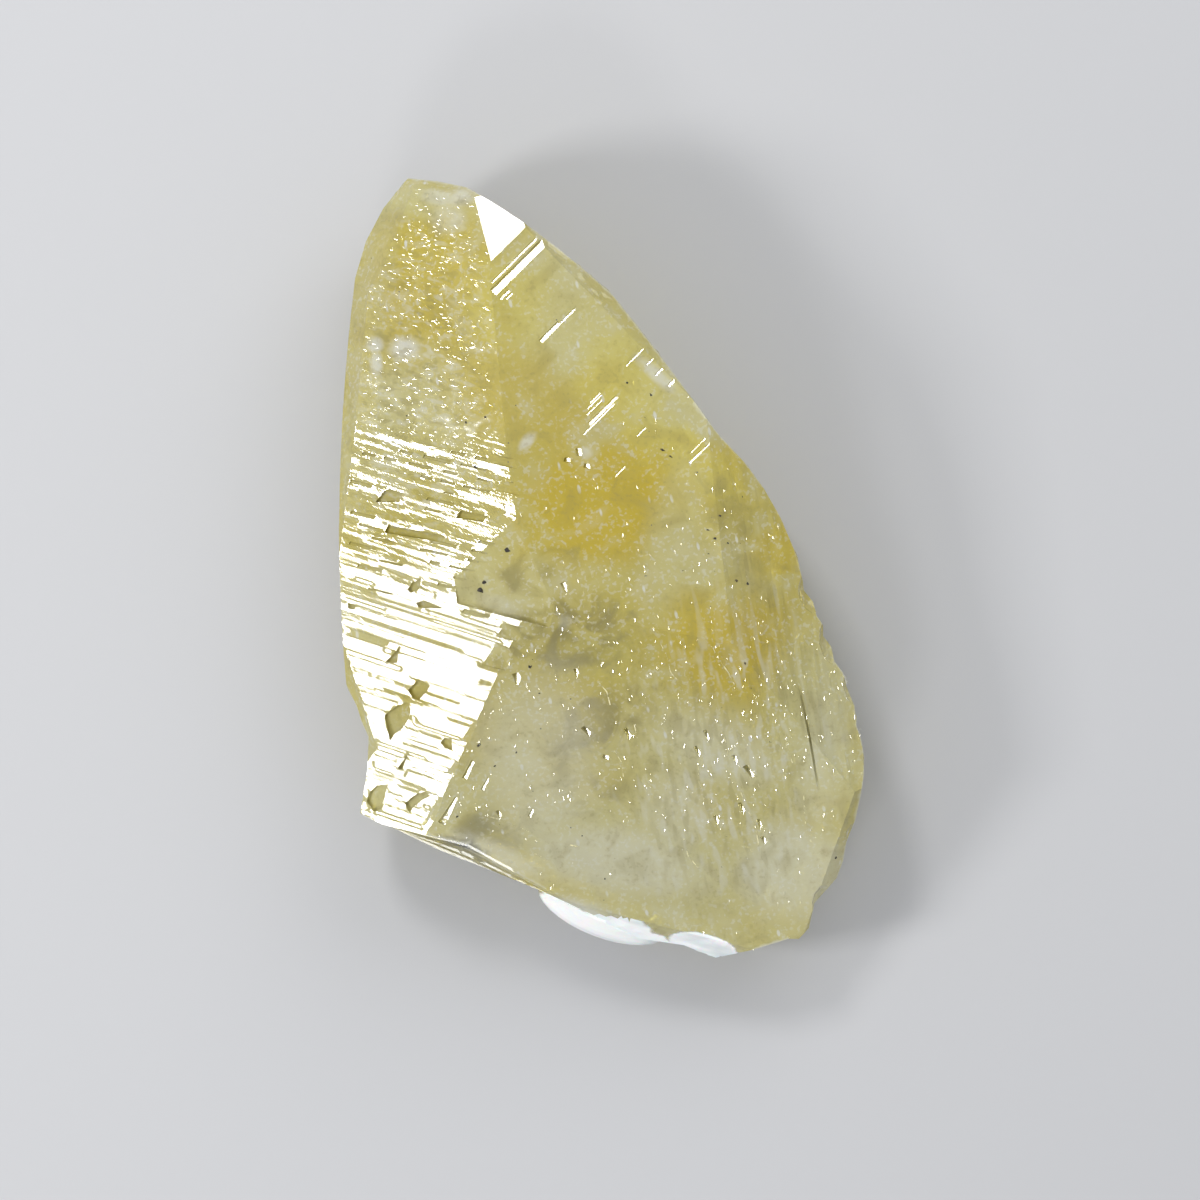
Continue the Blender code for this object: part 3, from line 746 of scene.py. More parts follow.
@dataclass(frozen=True)
class GrowthLayers:
    """Thin growth layers of the left face: blocks that lie along it between blocks that lean."""

    seed: int = 21
    lean: float = 8.0
    lean_share: Pair = (0.8, 0.5)
    drift: float = 1.1
    drift_rate: Pair = (0.1, 0.75)
    drift_level: float = 3.0
    low: float = 1.6
    step: float = 0.14
    same_face: float = 1.0
    thickness: tuple[int, ...] = (1, 2, 2, 2, 3, 3, 4, 5, 6, 8)
    thin: tuple[int, ...] = (1, 1, 1, 1, 2, 2, 3)
    thin_above: float = -1.0
    length: tuple[int, int] = (4, 34)
    reach: int = 700
    most_blocks: int = 4096
    bands: tuple[Pair, ...] = (
        (-30, 0.97), (-7.5, 0.96), (-6.5, 0.94), (-2.3, 0.88), (-2, 0.8), (1, 0.76), (1.8, 0.32),
        (5.2, 0.3), (6.2, 0.5), (9, 0.56), (10, 0.5), (10.5, 0.12), (11.6, 0.06), (12.6, 0.01), (17, 0),
    )

    def _layers(self, rows: np.ndarray, y: np.ndarray, rng: np.random.Generator) -> np.ndarray:
        """Gather the grid's rows into layers, thin ones high up on the face.

        Args:
            rows: The row of each point.
            y: The points' y in millimetres.
            rng: Chooses how many rows a layer has.

        Returns:
            The layer of each row.
        """
        size = 2 * self.reach
        height = np.bincount(rows, y, size) / np.maximum(np.bincount(rows, minlength=size), 1)
        layer = [0]
        while len(layer) <= size:
            sizes = self.thin if height[len(layer) - 1] > self.thin_above else self.thickness
            layer += [layer[-1] + 1] * int(rng.choice(sizes))
        return np.array(layer[1:size + 1])

    def _blocks(self, cells: np.ndarray, y: np.ndarray) -> tuple[np.ndarray, np.ndarray]:
        """Cut the layers into blocks.

        Args:
            cells: The row and column of each point.
            y: The points' y in millimetres.

        Returns:
            The key of each block, and the block of each point.
        """
        rng = np.random.default_rng(self.seed)
        rows = cells[:, 0] + self.reach
        layers = self._layers(rows, y, rng)[rows]
        starts = rng.integers(0, self.length[1], 2 * self.reach)
        lengths = rng.integers(*self.length, 2 * self.reach)
        blocks = (cells[:, 1] + self.reach + starts[layers]) // lengths[layers]
        return np.unique(layers * self.most_blocks + blocks, return_inverse=True)

    def _drift(self, x: float, y: float) -> float:
        """Return a value about 0 that varies slowly along the layers and faster across them."""
        run, side = heading(LAMINA_AZIMUTH), heading(LAMINA_AZIMUTH + 90.0)
        return noise.noise(Vector((self.drift_rate[0] * (x * run.x + y * run.y),
                                   self.drift_rate[1] * (x * side.x + y * side.y), self.drift_level)))

    def _facing(self, plane: Plane, is_lit: bool, tone: float) -> Vector:
        """Choose where a block faces.

        Args:
            plane: The flat's plane.
            is_lit: Whether the block lies along the left face.
            tone: How far it leans if it doesn't, from 0 to 1.

        Returns:
            Its normal.
        """
        left = face_normal(*LEFT_FACE)
        if is_lit:
            return left
        if plane.normal.angle(left) > math.radians(self.same_face):
            return plane.normal
        least, more = self.lean_share
        turn = math.radians(self.lean * (least + more * tone))
        return Matrix.Rotation(-turn, 3, plane.along) @ left

    def heights(self, grid: Grid) -> np.ndarray:
        """Work out the relief of a flat's inner points.

        Args:
            grid: The flat's inner points.

        Returns:
            A height for each point in millimetres.
        """
        world = grid.world()
        keys, block = self._blocks(grid.cells, world[:, 1])
        count = np.bincount(block)
        middle, centre = (np.stack([np.bincount(block, axis) / count for axis in points.T], axis=1)
                          for points in (world, grid.places))
        chance = np.array([np.random.default_rng(int(key)).random(3) for key in keys])
        share = np.interp(middle[:, 1], *zip(*self.bands))
        mixed = np.minimum(1.0, 4.0 * share * (1.0 - share))
        drift = np.array([self._drift(x, y) for x, y, _ in middle])
        lit = chance[:, 0] < share + self.drift * drift * mixed
        slopes = np.array([grid.slope(self._facing(grid.plane, is_lit, tone))
                           for is_lit, tone in zip(lit, chance[:, 1])])
        stepped = np.where(middle[:, 1] < self.low, 1.0, mixed)
        step = np.where(chance[:, 2] < 0.5, chance[:, 2] - 0.25, 0.0) * self.step * stepped
        return (slopes[block] * (grid.places - centre[block])).sum(axis=1) + step[block]


@dataclass(frozen=True)
class Ripples:
    """Low uneven relief: broad swells with finer ones on them, faded out at the rim."""

    height: float = 0.05
    pitch: float = 3.0
    azimuth: float = 0.0
    stretch: float = 1.0
    octaves: int = 4
    inward: bool = False
    fade: float = 0.5
    smoothness: float = 0.8
    gap: float = 2.1

    def heights(self, grid: Grid) -> np.ndarray:
        """Work out the relief of a flat's inner points.

        Args:
            grid: The flat's inner points.

        Returns:
            A height for each point in millimetres.
        """
        turn = Matrix.Rotation(-math.radians(self.azimuth), 3, "Z")
        scale = Vector((1.0 / (self.pitch * self.stretch), 1.0 / self.pitch, 1.0 / self.pitch))
        relief = self.height * np.array([
            noise.fractal((turn @ Vector(place)) * scale, self.smoothness, self.gap, self.octaves)
            for place in grid.world()])
        part = np.clip(grid.rim / self.fade, 0.0, 1.0)
        return (-np.abs(relief) if self.inward else relief) * (part * part * (3.0 - 2.0 * part))


@dataclass
class CrystalSkin:
    """Fine closed surface of the crystal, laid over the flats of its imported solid."""

    same_flat: float = 0.6
    rim: float = 0.3
    clearance: float = 0.6
    precision: float = 1e-7
    sliver: float = 2e-6
    sharp_angle: float = 5.0
    # Edges sharper than this angle, between flats larger than this area, get a painted rim glow
    rim_glow_angle: float = 45.0
    rim_glow_area: float = 4.0
    small_area: float = 1.2
    growth_angle: float = 6.0
    rest_z: float = -0.98
    flank_z: float = 0.85
    flank_x: float = 0.35
    mirror_z: float = 0.8
    points: list[Vector] = field(default_factory=list)
    faces: list[tuple[int, ...]] = field(default_factory=list)
    rim_glow: set[int] = field(default_factory=set)
    reliefs: dict[Flat, GrowthLayers | Ripples] = field(default_factory=lambda: {
        Flat.GROWTH: GrowthLayers(),
        Flat.MIRROR: Ripples(0.035, 2.2, LAMINA_AZIMUTH, 2.5),
        Flat.FLANK: Ripples(0.06, 1.0, FURROW_AZIMUTH, 6.0),
        Flat.BROKEN: Ripples(0.16, 2.6),
        Flat.REST: Ripples(0.05, 5.0, inward=True),
    })

    def build(self) -> Object:
        """Make the surface.

        Returns:
            Its object, with an attribute that marks the edges that get a painted rim glow.
        """
        bm = merged_solid()
        for elements in (bm.verts, bm.edges, bm.faces):
            elements.index_update()
        patches, label = self._flats(bm)
        rims = self._rims(bm, patches, label)
        for patch in patches:
            edges = {edge.index for face in patch.faces for edge in face.edges if edge.index in rims}
            if edges:
                self._fill(patch, [rims[index] for index in edges])
        bm.free()
        mesh = bpy.data.meshes.new("crystal")
        mesh.from_pydata(self.points, [], self.faces)
        painted_rim_glow = mesh.attributes.new(PAINTED_RIM_GLOW, "FLOAT", "POINT")
        painted_rim_glow.data.foreach_set("value", [float(index in self.rim_glow) for index in range(len(self.points))])
        mesh.validate()
        mesh.shade_smooth()
        mesh.set_sharp_from_angle(angle=math.radians(self.sharp_angle))
        return add_object("crystal", mesh)

    def _keep(self, point: Vector) -> int:
        """Add a point and return its number."""
        self.points.append(point)
        return len(self.points) - 1

    def _flats(self, bm: BMesh) -> tuple[list[Patch], list[int]]:
        """Group the solid's triangles into flats.

        Args:
            bm: The joined solid.

        Returns:
            The flats, and for each triangle the place of its flat in that list.
        """
        limit = math.cos(math.radians(self.same_flat))
        label = [-1] * len(bm.faces)
        patches: list[Patch] = []
        for first in sorted(bm.faces, key=lambda face: -face.calc_area()):
            if label[first.index] >= 0:
                continue
            normal = first.normal.copy()
            members, stack = [], [first]
            label[first.index] = len(patches)
            while stack:
                face = stack.pop()
                members.append(face)
                for other in [other for edge in face.edges for other in edge.link_faces]:
                    if label[other.index] < 0 and (other.normal.dot(normal) > limit
                                                   or other.calc_area() < NO_AREA):
                        label[other.index] = len(patches)
                        stack.append(other)
            area = sum(face.calc_area() for face in members) / (MM * MM)
            patches.append(Patch(normal, members, area, self._kind(normal, area)))
        return patches, label

    def _kind(self, normal: Vector, area: float) -> Flat:
        """Name the kind of a flat.

        Args:
            normal: Its normal.
            area: Its area in square millimetres.

        Returns:
            The kind.
        """
        if area < self.small_area:
            return Flat.SMALL
        if normal.angle(face_normal(*LEFT_FACE)) < math.radians(self.growth_angle):
            return Flat.GROWTH
        if normal.z < self.rest_z:
            return Flat.REST
        if normal.z > self.flank_z and normal.x > self.flank_x:
            return Flat.FLANK
        return Flat.MIRROR if normal.z > self.mirror_z else Flat.BROKEN

    def _rims(self, bm: BMesh, patches: list[Patch],
              label: list[int]) -> dict[int, list[int]]:
        """Lay points along the edges between flats, and note the sharp ones that get a painted rim glow.

        Args:
            bm: The joined solid.
            patches: Its flats.
            label: The flat of each of its triangles.

        Returns:
            For each such edge the chain of its points.
        """
        corner: dict[int, int] = {}
        rims: dict[int, list[int]] = {}
        for edge in bm.edges:
            flats = {label[face.index] for face in edge.link_faces}
            if len(flats) < 2:
                continue
            for vert in edge.verts:
                if vert.index not in corner:
                    corner[vert.index] = self._keep(vert.co.copy())
            start, end = edge.verts
            steps = max(1, round(edge.calc_length() / (self.rim * MM)))
            inner = [self._keep(start.co.lerp(end.co, step / steps)) for step in range(1, steps)]
            rims[edge.index] = [corner[start.index], *inner, corner[end.index]]
            # Long sharp edges between large flats get the painted rim glow
            large = min(patches[flat].area for flat in flats) > self.rim_glow_area
            if large and edge.calc_face_angle_signed(0.0) > math.radians(self.rim_glow_angle):
                self.rim_glow.update(rims[edge.index])
        return rims

    def _fill(self, patch: Patch, rims: list[list[int]]) -> None:
        """Fill one flat with fine triangles that share the points of its rims.

        Args:
            patch: The flat.
            rims: Chains of points along its border.
        """
        normal = patch.normal
        along = heading(WEAVES[patch.kind].azimuth)
        along = (along - normal * along.dot(normal)).normalized()
        plane = Plane(normal, normal * normal.dot(self.points[rims[0][0]]), along, normal.cross(along))
        ring = sorted({index for chain in rims for index in chain})
        place = {index: number for number, index in enumerate(ring)}
        border = [plane.flatten(self.points[index]) for index in ring]
        edges = [(place[a], place[b]) for chain in rims for a, b in zip(chain, chain[1:])]
        cover = self._sheet(patch, plane)
        grid = self._grid(patch, plane, border, cover)
        relief = self.reliefs[patch.kind].heights(grid) if len(grid.places) else []
        inner = [Vector(point) for point in (*border, *grid.places)]
        verts, _, tris, origins = delaunay_2d_cdt(inner, edges, [], 0, self.precision, True)[:4]
        number: list[int] = []
        for where, source in zip(verts, origins):
            if source and source[0] < len(ring):
                number.append(ring[source[0]])
            else:
                height = float(relief[source[0] - len(ring)]) if source else 0.0
                number.append(self._keep(plane.lift(where.x, where.y, height)))
        for tri in tris:
            on_ring = all(origins[i] and origins[i][0] < len(ring) for i in tri)
            if not on_ring or self._inside([verts[i] for i in tri], cover):
                self.faces.append(tuple(number[i] for i in tri))

    @staticmethod
    def _sheet(patch: Patch, plane: Plane) -> BVHTree:
        """Return a flat's own triangles, laid out in its plane to test places against."""
        corners = [(*plane.flatten(vert.co), 0.0) for face in patch.faces for vert in face.verts]
        return BVHTree.FromPolygons(corners, [(i, i + 1, i + 2) for i in range(0, len(corners), 3)])

    def _inside(self, corners: list[Vector], cover: BVHTree) -> bool:
        """Tell if a triangle between rim points belongs to its flat.

        Args:
            corners: Its corners on the flat's plane.
            cover: The flat's own triangles.

        Returns:
            False for a sliver, or for one that bridges a notch in the rim.
        """
        first, second, third = corners
        if abs((second - first).cross(third - first)) < self.sliver:
            return False
        middle = sum(corners, Vector((0.0, 0.0))) / 3.0
        return drop(cover, middle.x, middle.y) is not None

    def _grid(self, patch: Patch, plane: Plane, border: list[Pair], cover: BVHTree) -> Grid:
        """Lay the inner points of a flat.

        Args:
            patch: The flat.
            plane: Its plane.
            border: Places of its rim points.
            cover: Its own triangles, to test places against.

        Returns:
            The inner points.
        """
        weave = WEAVES[patch.kind]
        low, high = np.array(border).min(0), np.array(border).max(0)
        tree = KDTree(len(border))
        for number, (u, v) in enumerate(border):
            tree.insert((u, v, 0.0), number)
        tree.balance()
        near = self.clearance * min(weave.along, weave.across)
        places, cells, rim = [], [], []
        rows = range(math.floor(low[1] / weave.across), math.ceil(high[1] / weave.across) + 1)
        for row in rows if patch.kind is not Flat.SMALL else ():
            start, v = row * weave.shift(), row * weave.across
            first = math.floor((low[0] - start) / weave.along)
            last = math.ceil((high[0] - start) / weave.along)
            for column in range(first, last + 1):
                u = start + column * weave.along
                distance = tree.find((u, v, 0.0))[2]
                if distance > near and drop(cover, u, v) is not None:
                    places.append((u, v))
                    cells.append((row, column))
                    rim.append(distance)
        return Grid(plane, np.array(places), np.array(cells), np.array(rim))


# ----- Small things in it


class NodePiece(Graph):
    """A piece that Geometry Nodes make from a base."""

    def _begin(self, name: str, inputs: dict[str, str]) -> dict[str, Value]:
        """Start the node group.

        Args:
            name: Its name.
            inputs: What kind of socket each of its inputs is, besides the base.

        Returns:
            The wrapped inputs.
        """
        super().__init__(bpy.data.node_groups.new(name, "GeometryNodeTree"))
        face = self.tree.interface
        for label, kind in {"Geometry": "Geometry", **inputs}.items():
            face.new_socket(label, in_out="INPUT", socket_type="NodeSocket" + kind)
        face.new_socket("Geometry", in_out="OUTPUT", socket_type="NodeSocketGeometry")
        start = self.tree.nodes.new("NodeGroupInput")
        return {socket.name: Value(self, socket) for socket in start.outputs if socket.name}

    def _end(self, made: Value, material: Material) -> None:
        """Make the result real, give it its material and put it out.

        Args:
            made: The wrapped geometry.
            material: What it is made of.
        """
        real = self.add("GeometryNodeRealizeInstances", {}, {"Geometry": made})
        real = self.add("GeometryNodeSetMaterial", {}, {"Geometry": real, "Material": material})
        end = self.tree.nodes.new("NodeGroupOutput")
        self.tree.links.new(real.socket, end.inputs[0])

    def _make(self, name: str, base: ID, values: dict[str, object]) -> Object:
        """Run the node group on its base and keep the result as a plain mesh.

        Args:
            name: The piece's name.
            base: The mesh or curve that it starts from.
            values: What the inputs are set to.

        Returns:
            The piece.
        """
        holder = add_object(name + "_base", base)
        modifier = holder.modifiers.new(name, "NODES")
        modifier.node_group = self.tree
        for item in self.tree.interface.items_tree:
            if item.in_out == "INPUT" and item.name in values:
                modifier[item.identifier] = values[item.name]
        graph = bpy.context.evaluated_depsgraph_get()
        mesh = bpy.data.meshes.new_from_object(holder.evaluated_get(graph))
        mesh.name = name
        bpy.data.objects.remove(holder)
        return add_object(name, mesh)


@dataclass
class Scatter(NodePiece):
    """Spreads thin plates over the smooth front, in millimetres and degrees, so many to a square metre."""

    name: str
    count: float
    size: Pair
    slim: float
    depth: Pair
    facing: Vector
    azimuth: float
    spread: float
    patch: float
    seed: int
    sides: int = 6
    angles: Pair = (14.0, 90.0)
    fade: Pair = (4.0, -12.0)
    thinnest: float = 0.2
    tilt: float = 1.2
    steepest: float = 0.8
    clouds: Pair = (0.42, 0.66)
    thickness: float = 0.16

    def _base(self, material: Material) -> Mesh:
        """Cut out the front faces of the solid whose angle to the left face is in the range.

        Args:
            material: What the pieces are made of.

        Returns:
            Those faces.
        """
        left = face_normal(*LEFT_FACE)
        low, high = (math.radians(angle) for angle in self.angles)
        bm = merged_solid()
        others = [face for face in bm.faces
                  if face.normal.z < self.steepest or not low < face.normal.angle(left) < high]
        bmesh.ops.delete(bm, geom=others, context="FACES")
        base = to_mesh(self.name + "_base", bm)
        base.materials.append(material)
        return base

    def _random(self, low: object, high: object, step: int) -> Value:
        """Return a random number for each piece, with a step on from the seed."""
        return self.add("FunctionNodeRandomValue", {"data_type": "FLOAT"},
                        {2: low, 3: high, "Seed": self.seed + step}, 1)

    def _spread(self, given: dict[str, Value]) -> Value:
        """Spread points under the base, in clouds that thin out up the crystal.

        Args:
            given: The group's inputs.

        Returns:
            The wrapped points.
        """
        cloud = self.add("ShaderNodeTexNoise", {}, {"Scale": self.patch, "Detail": 2.0}, "Fac")
        place = self.add("ShaderNodeSeparateXYZ", {},
                         {0: self.add("GeometryNodeInputPosition", {}, {})}, "Y")
        near = place.between(self.fade[0] * MM, self.fade[1] * MM)
        share = cloud.between(*self.clouds) * (self.thinnest + (1.0 - self.thinnest) * near)
        points = self.add("GeometryNodeDistributePointsOnFaces", {"distribute_method": "RANDOM"},
                          {"Mesh": given["Geometry"], "Density": given["Density"] * share,
                           "Seed": given["Seed"]}, "Points")
        sink = self._random(self.depth[0] * MM, self.depth[1] * MM, 1)
        offset = self.add("ShaderNodeCombineXYZ", {}, {"Z": 0.0 - sink})
        return self.add("GeometryNodeSetPosition", {}, {"Geometry": points, "Offset": offset})

    def build(self, material: Material) -> Object:
        """Make the pieces.

        Args:
            material: What they are made of.

        Returns:
            One object that holds them all.
        """
        given = self._begin(self.name, {"Density": "Float", "Smallest": "Float", "Largest": "Float",
                                        "Seed": "Int"})
        points = self._spread(given)
        plate = self.add("GeometryNodeMeshCylinder", {"fill_type": "NGON"},
                         {"Vertices": self.sides, "Radius": 0.5, "Depth": self.thickness}, "Mesh")
        size = self._random(given["Smallest"], given["Largest"], 2)
        slim = size * self.slim
        scale = self.add("ShaderNodeCombineXYZ", {}, {"X": size, "Y": slim, "Z": slim})
        across = self.facing.cross(heading(self.azimuth)).normalized()
        basis = Matrix((across.cross(self.facing), across, self.facing)).transposed().to_euler()
        most = Vector((self.tilt, self.tilt, self.spread)) * math.radians(1.0)
        turn = self.add("FunctionNodeRandomValue", {"data_type": "FLOAT_VECTOR"},
                        {0: tuple(-most), 1: tuple(most), "Seed": self.seed + 3})
        placed = self.add("GeometryNodeInstanceOnPoints", {}, {
            "Points": points, "Instance": plate, "Rotation": tuple(basis), "Scale": scale})
        placed = self.add("GeometryNodeRotateInstances", {}, {"Instances": placed, "Rotation": turn})
        self._end(placed, material)
        return self._make(self.name, self._base(material), {
            "Density": self.count, "Smallest": self.size[0] * MM, "Largest": self.size[1] * MM,
            "Seed": self.seed})


@dataclass
class Veins(NodePiece):
    """Thin bent veins of healed cracks, laid along the front by Geometry Nodes."""

    courses: tuple[tuple[Pair, ...], ...] = (
        ((10.1, -6.9), (10.4, -7.7), (10.8, -8.3), (11.7, -9.6), (12.4, -11)),
        ((5.4, -6.8), (6, -8), (6.3, -9.4), (7, -10.2), (7.4, -11.1)),
        ((9.4, -16.9), (8.9, -18.2), (8.9, -19.3), (9.5, -21.4)),
        ((13.5, -18), (14.1, -18.8), (14.5, -20)), ((11.2, -15.2), (11.6, -16.6), (11.5, -17.3)),
        ((12.8, -20.4), (13.3, -21.8), (14.2, -23.6), (14.6, -26)), ((3, -14.2), (3.3, -15.5)),
        ((6.9, -3.6), (7.2, -5.4), (7, -6.4)), ((1.2, -16.6), (1.9, -17.8), (2, -19)),
        ((16.8, -14), (17, -16.2), (17.6, -17.9)), ((18.6, -20.6), (18.8, -23.4)),
        ((7.6, -24.8), (8, -26.4), (9, -27.6)), ((-0.4, -10.2), (0.5, -11.2), (0.8, -12.4)),
        ((-10.7, -22.6), (-9, -23.1), (-6.7, -24.1)), ((-6.5, -26), (-5, -26.7)),
        ((-3.1, -25.3), (-1.6, -25.7)),
    )
    radius: float = 0.055
    sides: int = 5
    spacing: float = 0.25
    sink: float = 0.01
    knots: float = 900.0

    def _courses(self) -> Curve:
        """Lay the courses over the solid's front.

        Returns:
            A curve with a spline for each.
        """
        front = Front()
        curve = bpy.data.curves.new("veins_base", "CURVE")
        curve.dimensions = "3D"
        for course in self.courses:
            spline = curve.splines.new("POLY")
            spline.points.add(len(course) - 1)
            for point, place in zip(spline.points, course):
                hit = front.at(*place)
                point.co = (*hit.xy, hit.z - self.sink * MM, 1.0)
        return curve

    def build(self, material: Material) -> Object:
        """Make the veins.

        Args:
            material: What they are made of.

        Returns:
            One object that holds them all.
        """
        given = self._begin("veins", {"Radius": "Float", "Spacing": "Float"})
        path = self.add("GeometryNodeResampleCurve", {"mode": "LENGTH"},
                        {"Curve": given["Geometry"], "Length": given["Spacing"]})
        where = self.add("GeometryNodeInputPosition", {}, {})
        thick = self.add("ShaderNodeTexNoise", {}, {"Vector": where, "Scale": self.knots}, "Fac")
        profile = self.add("GeometryNodeCurvePrimitiveCircle", {},
                           {"Resolution": self.sides, "Radius": given["Radius"]}, "Curve")
        self._end(self.add("GeometryNodeCurveToMesh", {}, {
            "Curve": path, "Profile Curve": profile, "Scale": thick * 2.0, "Fill Caps": True}), material)
        return self._make("veins", self._courses(), {
            "Radius": self.radius * MM, "Spacing": self.spacing * MM})


@dataclass
class LipFilm:
    """Thin pearly film over the smooth lip, and over the low foot beside it."""

    margin: float = 1.3
    top: float = 10.2
    lift: float = 0.02
    facing: float = 0.15
    lip: Zone = Zone(0.2, -31.5, 6.5, 2.75, -21.0)
    lip_height: Pair = (5.4, 2.6)
    lip_skin: float = 0.03

    def _on_lip(self, place: Vector) -> bool:
        """Tell if a point lies on the lens-shaped lip.

        Args:
            place: The point in millimetres.

        Returns:
            True if it does.
        """
        middle, half = self.lip_height
        away = math.hypot(self.lip.distance(place.x, place.y), (place.z - middle) / half)
        return abs(away - 1.0) < self.lip_skin

    def _pearly(self, face: BMFace) -> bool:
        """Tell if a face is part of the lip, or looks up from one of the pearly areas.

        Args:
            face: A face of the crystal's surface.

        Returns:
            True if it is.
        """
        place = face.calc_center_median() / MM
        near = min(zone.distance(place.x, place.y) for zone in PEARLY_AREAS.zones)
        above = face.normal.z >= self.facing and near < self.margin and place.z < self.top
        return above or self._on_lip(place)

    def build(self, crystal: Object) -> Object:
        """Lift a film off the crystal's surface.

        Args:
            crystal: The finished crystal.

        Returns:
            The film.
        """
        bm = bmesh.new()
        bm.from_mesh(crystal.data)
        others = [face for face in bm.faces if not self._pearly(face)]
        bmesh.ops.delete(bm, geom=others, context="FACES")
        bm.normal_update()
        for vert in bm.verts:
            vert.co += vert.normal * self.lift * MM
        mesh = to_mesh("lip_film", bm)
        PEARLY_AREAS.store(mesh)
        return add_object("lip_film", mesh)


@dataclass(frozen=True)
class Speck:
    """One dark grain: its place and size in millimetres, how long it is, its lean in degrees."""

    x: float
    y: float
    size: float
    stretch: float = 1.0
    lean: float = 0.0


@dataclass
class DarkSpecks:
    """Small dark grains just under the front."""

    specks: tuple[tuple[float, ...], ...] = (
        (-8.5, 1.8, 0.55, 1.3, 20), (-8, 1.4, 0.2), (-11, -1.9, 0.6, 1.3, 10),
        (-10.6, -1.1, 0.4, 2.2, 40), (-5, 0.1, 0.22, 1.4), (-5, -0.3, 0.2, 1.2), (-6.5, -8.8, 0.45, 0.8),
        (-6.3, -8.2, 0.2), (-11.2, -16, 0.3, 2.2, 55), (-11.4, 9.4, 0.3, 2, 15),
        (-12.3, 13.4, 0.24, 1.9, -10), (-10.5, 13.9, 0.26, 2, 25), (-7.8, 14.9, 0.2, 1.2),
        (-17.8, 14.1, 0.24, 1.2), (5.5, 10.9, 0.3, 2.2, -15), (6.2, 10.3, 0.26, 2.4, -20),
        (2.8, 14.1, 0.22, 2.4, -10), (3.8, 13.9, 0.2, 2.2, -15), (10.7, 4.9, 0.22, 2.6, -6),
        (9.7, 3.6, 0.28, 1.6, -20), (10.3, 2.8, 0.32, 1.5, -30), (11.5, 2.4, 0.25, 1.4),
        (12.6, 2.4, 0.2, 1.6), (9.6, 1.5, 0.22, 2.8, -20), (12.8, 6.8, 0.18, 3.4, -60),
        (7.4, -0.1, 0.26, 1.8, 15), (8.3, -0.6, 0.18), (10.3, -0.2, 0.2, 1.2), (12.2, -1, 0.3, 2, -25),
        (13.3, -1.3, 0.28, 1.6, -10), (1, 2.7, 0.22, 1.6), (4, -0.6, 0.2, 1.8, 10),
        (-5.7, -11.3, 0.2, 1.2), (-3, -8.4, 0.18, 1.2), (13.1, -8.5, 0.2, 2.4, -70),
        (13.6, -10.8, 0.24, 1.6, -50), (9.9, -3.4, 0.18), (8.3, -3.8, 0.18), (11, -12.6, 0.18),
        (16.5, -22.3, 0.26, 1.6, -40), (15.5, -15.8, 0.24, 1.3), (11.5, -24.5, 0.22, 1.6, -60),
        (11.6, -25.1, 0.18, 1.2), (11.1, -27.4, 0.18), (21.6, -26.6, 0.28, 1.4, 30), (1.2, -26.6, 0.18),
        (0.3, -28.5, 0.2), (-1.8, -24.5, 0.18, 1.2), (-6.3, -20.3, 0.2), (-9.8, -18, 0.22, 1.4, 20),
        (-9.4, -23.4, 0.2), (-7.8, -16.7, 0.22, 2, 60), (-13.2, -22.6, 0.24, 2.4, 60),
        (-4.7, -18.7, 0.18), (-0.3, -21.6, 0.18), (6.5, 3.4, 0.18, 1.6, -20),
        (-16.6, 11.1, 0.26, 1.6, 10), (2.3, 17, 0.26, 1.6, -40), (4.5, 15.9, 0.26, 1.8, -50),
        (-2.6, 18.3, 0.24, 2, -35),
    )
    depth: float = 0.04
    flatness: float = 0.35
    unevenness: float = 0.14
    seed: int = 8

    def build(self) -> Object:
        """Make the grains.

        Returns:
            One object that holds them all.
        """
        rng = np.random.default_rng(self.seed)
        front = Front()
        bm = bmesh.new()
        for speck in (Speck(*row) for row in self.specks):
            size = speck.size
            turn = Matrix.Rotation(math.radians(speck.lean), 4, "Z")
            shape = Matrix.Diagonal((size * speck.stretch * MM, size * MM, size * self.flatness * MM, 1.0))
            lower = Matrix.Translation(front.at(speck.x, speck.y) + DOWN * (self.depth * MM))
            grain = bmesh.ops.create_icosphere(bm, subdivisions=1, radius=0.5,
                                               matrix=lower @ turn @ shape)
            for vert in grain["verts"]:
                vert.co += Vector(rng.uniform(-self.unevenness, self.unevenness, 3) * size * MM)
        return add_object("dark_specks", to_mesh("dark_specks", bm))


# ----- The studio


@dataclass(frozen=True)
class Softbox:
    """A rectangular light: azimuth and elevation that it shines from, and sizes in metres."""

    name: str
    place: Pair
    distance: float
    size: Pair
    radiance: float

    def build(self, middle: Vector) -> None:
        """Add the light.

        Args:
            middle: The point that it faces.
        """
        data = bpy.data.lights.new(self.name, "AREA")
        data.shape = "RECTANGLE"
        data.size, data.size_y = self.size
        data.energy = self.radiance * math.pi * self.size[0] * self.size[1]
        light = add_object(self.name, data)
        towards = direction(*self.place)
        light.location = middle + towards * self.distance
        light.rotation_euler = towards.to_track_quat("Z", "Y").to_euler()


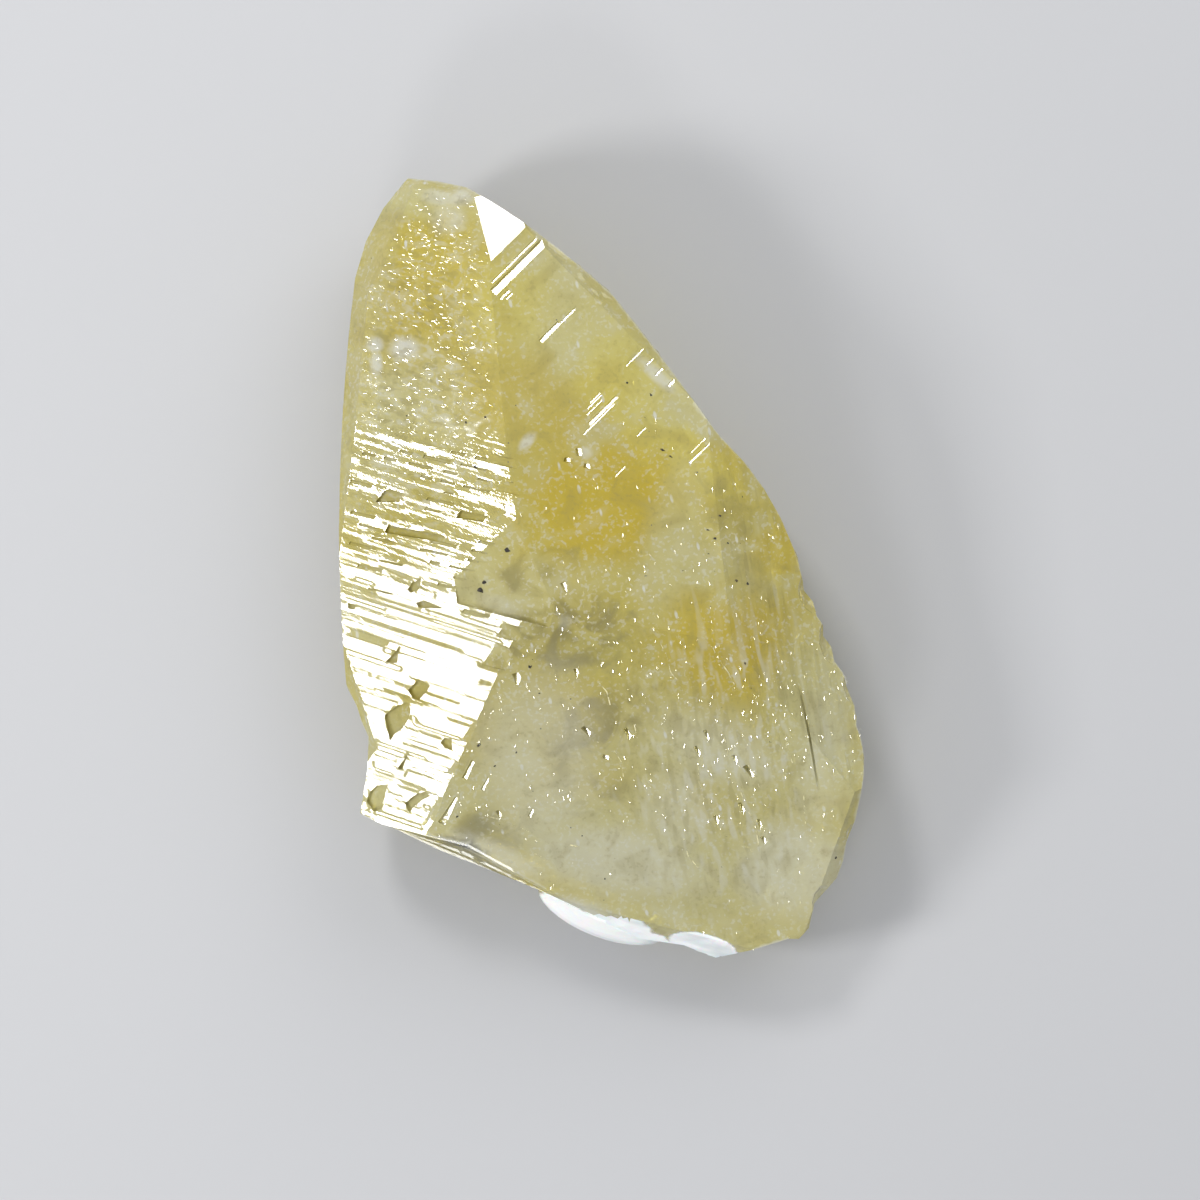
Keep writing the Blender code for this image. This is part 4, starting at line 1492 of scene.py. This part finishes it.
@dataclass
class Studio:
    """Floor, lights and camera, in metres."""

    frame_width: float = 0.1110
    lens: float = 200.0
    sensor: float = 36.0
    nearest: float = 0.01
    aim: tuple[float, float, float] = (-0.00014, -0.0028, 0.010)
    lit_height: float = 0.012
    floor_size: float = 1.5
    floor_gap: float = 0.00005
    room: Colour = (0.93, 0.96, 1.0, 1.0)
    room_strength: float = 0.55
    paper: StudioPaper = StudioPaper()
    lights: tuple[Softbox, ...] = (
        Softbox("growth_light", (189.7, 37.0), 0.5, (0.09, 0.12), 32.0),
        Softbox("streak_light", (117.8, 48.5), 0.5, (0.10, 0.10), 26.0),
        Softbox("ledge_light", (-112.5, 43.0), 0.5, (0.12, 0.08), 12.0),
        Softbox("broad_light", (60.0, 35.0), 0.6, (0.5, 0.4), 2.0),
    )

    def build(self) -> None:
        """Add the floor, the world, the lights and the camera."""
        self._floor()
        self._world()
        for light in self.lights:
            light.build(Vector((0.0, 0.0, self.lit_height)))
        self._camera()

    def _floor(self) -> None:
        """Add a flat paper floor just under the crystal."""
        bm = bmesh.new()
        bmesh.ops.create_grid(bm, x_segments=2, y_segments=2, size=self.floor_size,
                              matrix=Matrix.Translation(DOWN * self.floor_gap))
        floor = add_object("floor", to_mesh("floor", bm))
        floor.data.materials.append(self.paper.make())

    def _world(self) -> None:
        """Fill the room with even pale light."""
        world = bpy.data.worlds.new("room")
        world.use_nodes = True
        background = world.node_tree.nodes["Background"]
        background.inputs["Color"].default_value = self.room
        background.inputs["Strength"].default_value = self.room_strength
        bpy.context.scene.world = world

    def _camera(self) -> None:
        """Look straight down at the crystal's front."""
        data = bpy.data.cameras.new("camera")
        data.lens = self.lens
        data.sensor_width = self.sensor
        data.clip_start = self.nearest
        camera = add_object("camera", data)
        distance = self.frame_width * self.lens / self.sensor
        camera.location = Vector(self.aim) + Vector((0.0, 0.0, distance))
        bpy.context.scene.camera = camera
        bpy.context.scene.view_settings.view_transform = "Standard"


def attach(piece: Object) -> None:
    """Let a piece ride on the crystal's body and report it.

    Args:
        piece: One of the visible pieces.
    """
    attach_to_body(piece, "root")
    LOG.info("%s: %d points, %d faces", piece.name, len(piece.data.vertices),
             len(piece.data.polygons))


def main() -> None:
    """Build and dress the crystal, then set up the studio around it."""
    logging.basicConfig(level=logging.INFO, format="%(name)s: %(message)s")
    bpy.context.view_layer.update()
    look = HoneyCalcite()
    calcite = look.make()
    crystal = CrystalSkin().build()
    crystal.data.materials.append(calcite)
    look.dress(crystal.data)
    attach(crystal)
    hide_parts(NODE)
    flecks = Scatter("flecks", count=1.8e6, size=(0.1, 0.5), slim=0.24, depth=(-0.02, 0.02),
                     facing=face_normal(*LEFT_FACE), azimuth=-78.0, spread=25.0, patch=160.0,
                     seed=4).build(calcite)
    look.dress(flecks.data)
    attach(flecks)
    attach(Scatter("veils", count=1.2e5, size=(0.8, 2.6), slim=0.5, depth=(0.6, 4.0),
                   facing=face_normal(9.0, 12.0), azimuth=40.0, spread=80.0, patch=90.0,
                   seed=9, sides=7).build(PaleVeil().make()))
    glints = Scatter("glints", count=6.5e6, size=(0.1, 0.55), slim=0.2, depth=(-0.02, 0.02),
                     facing=face_normal(LEFT_FACE[0] + 7.4, LEFT_FACE[1]), azimuth=LAMINA_AZIMUTH,
                     spread=25.0, patch=260.0, seed=12, angles=(-1.0, 16.0), fade=(9.5, 12.0),
                     thinnest=0.0, tilt=3.0).build(calcite)
    look.dress(glints.data)
    attach(glints)
    attach(Veins().build(PaleVeil((0.80, 0.74, 0.44, 1.0), 1.0).make()))
    film = LipFilm().build(crystal)
    film.data.materials.append(PearlyFilm().make())
    attach(film)
    specks = DarkSpecks().build()
    specks.data.materials.append(DarkGrain().make())
    attach(specks)
    Studio().build()


if __name__ == "__main__":
    main()
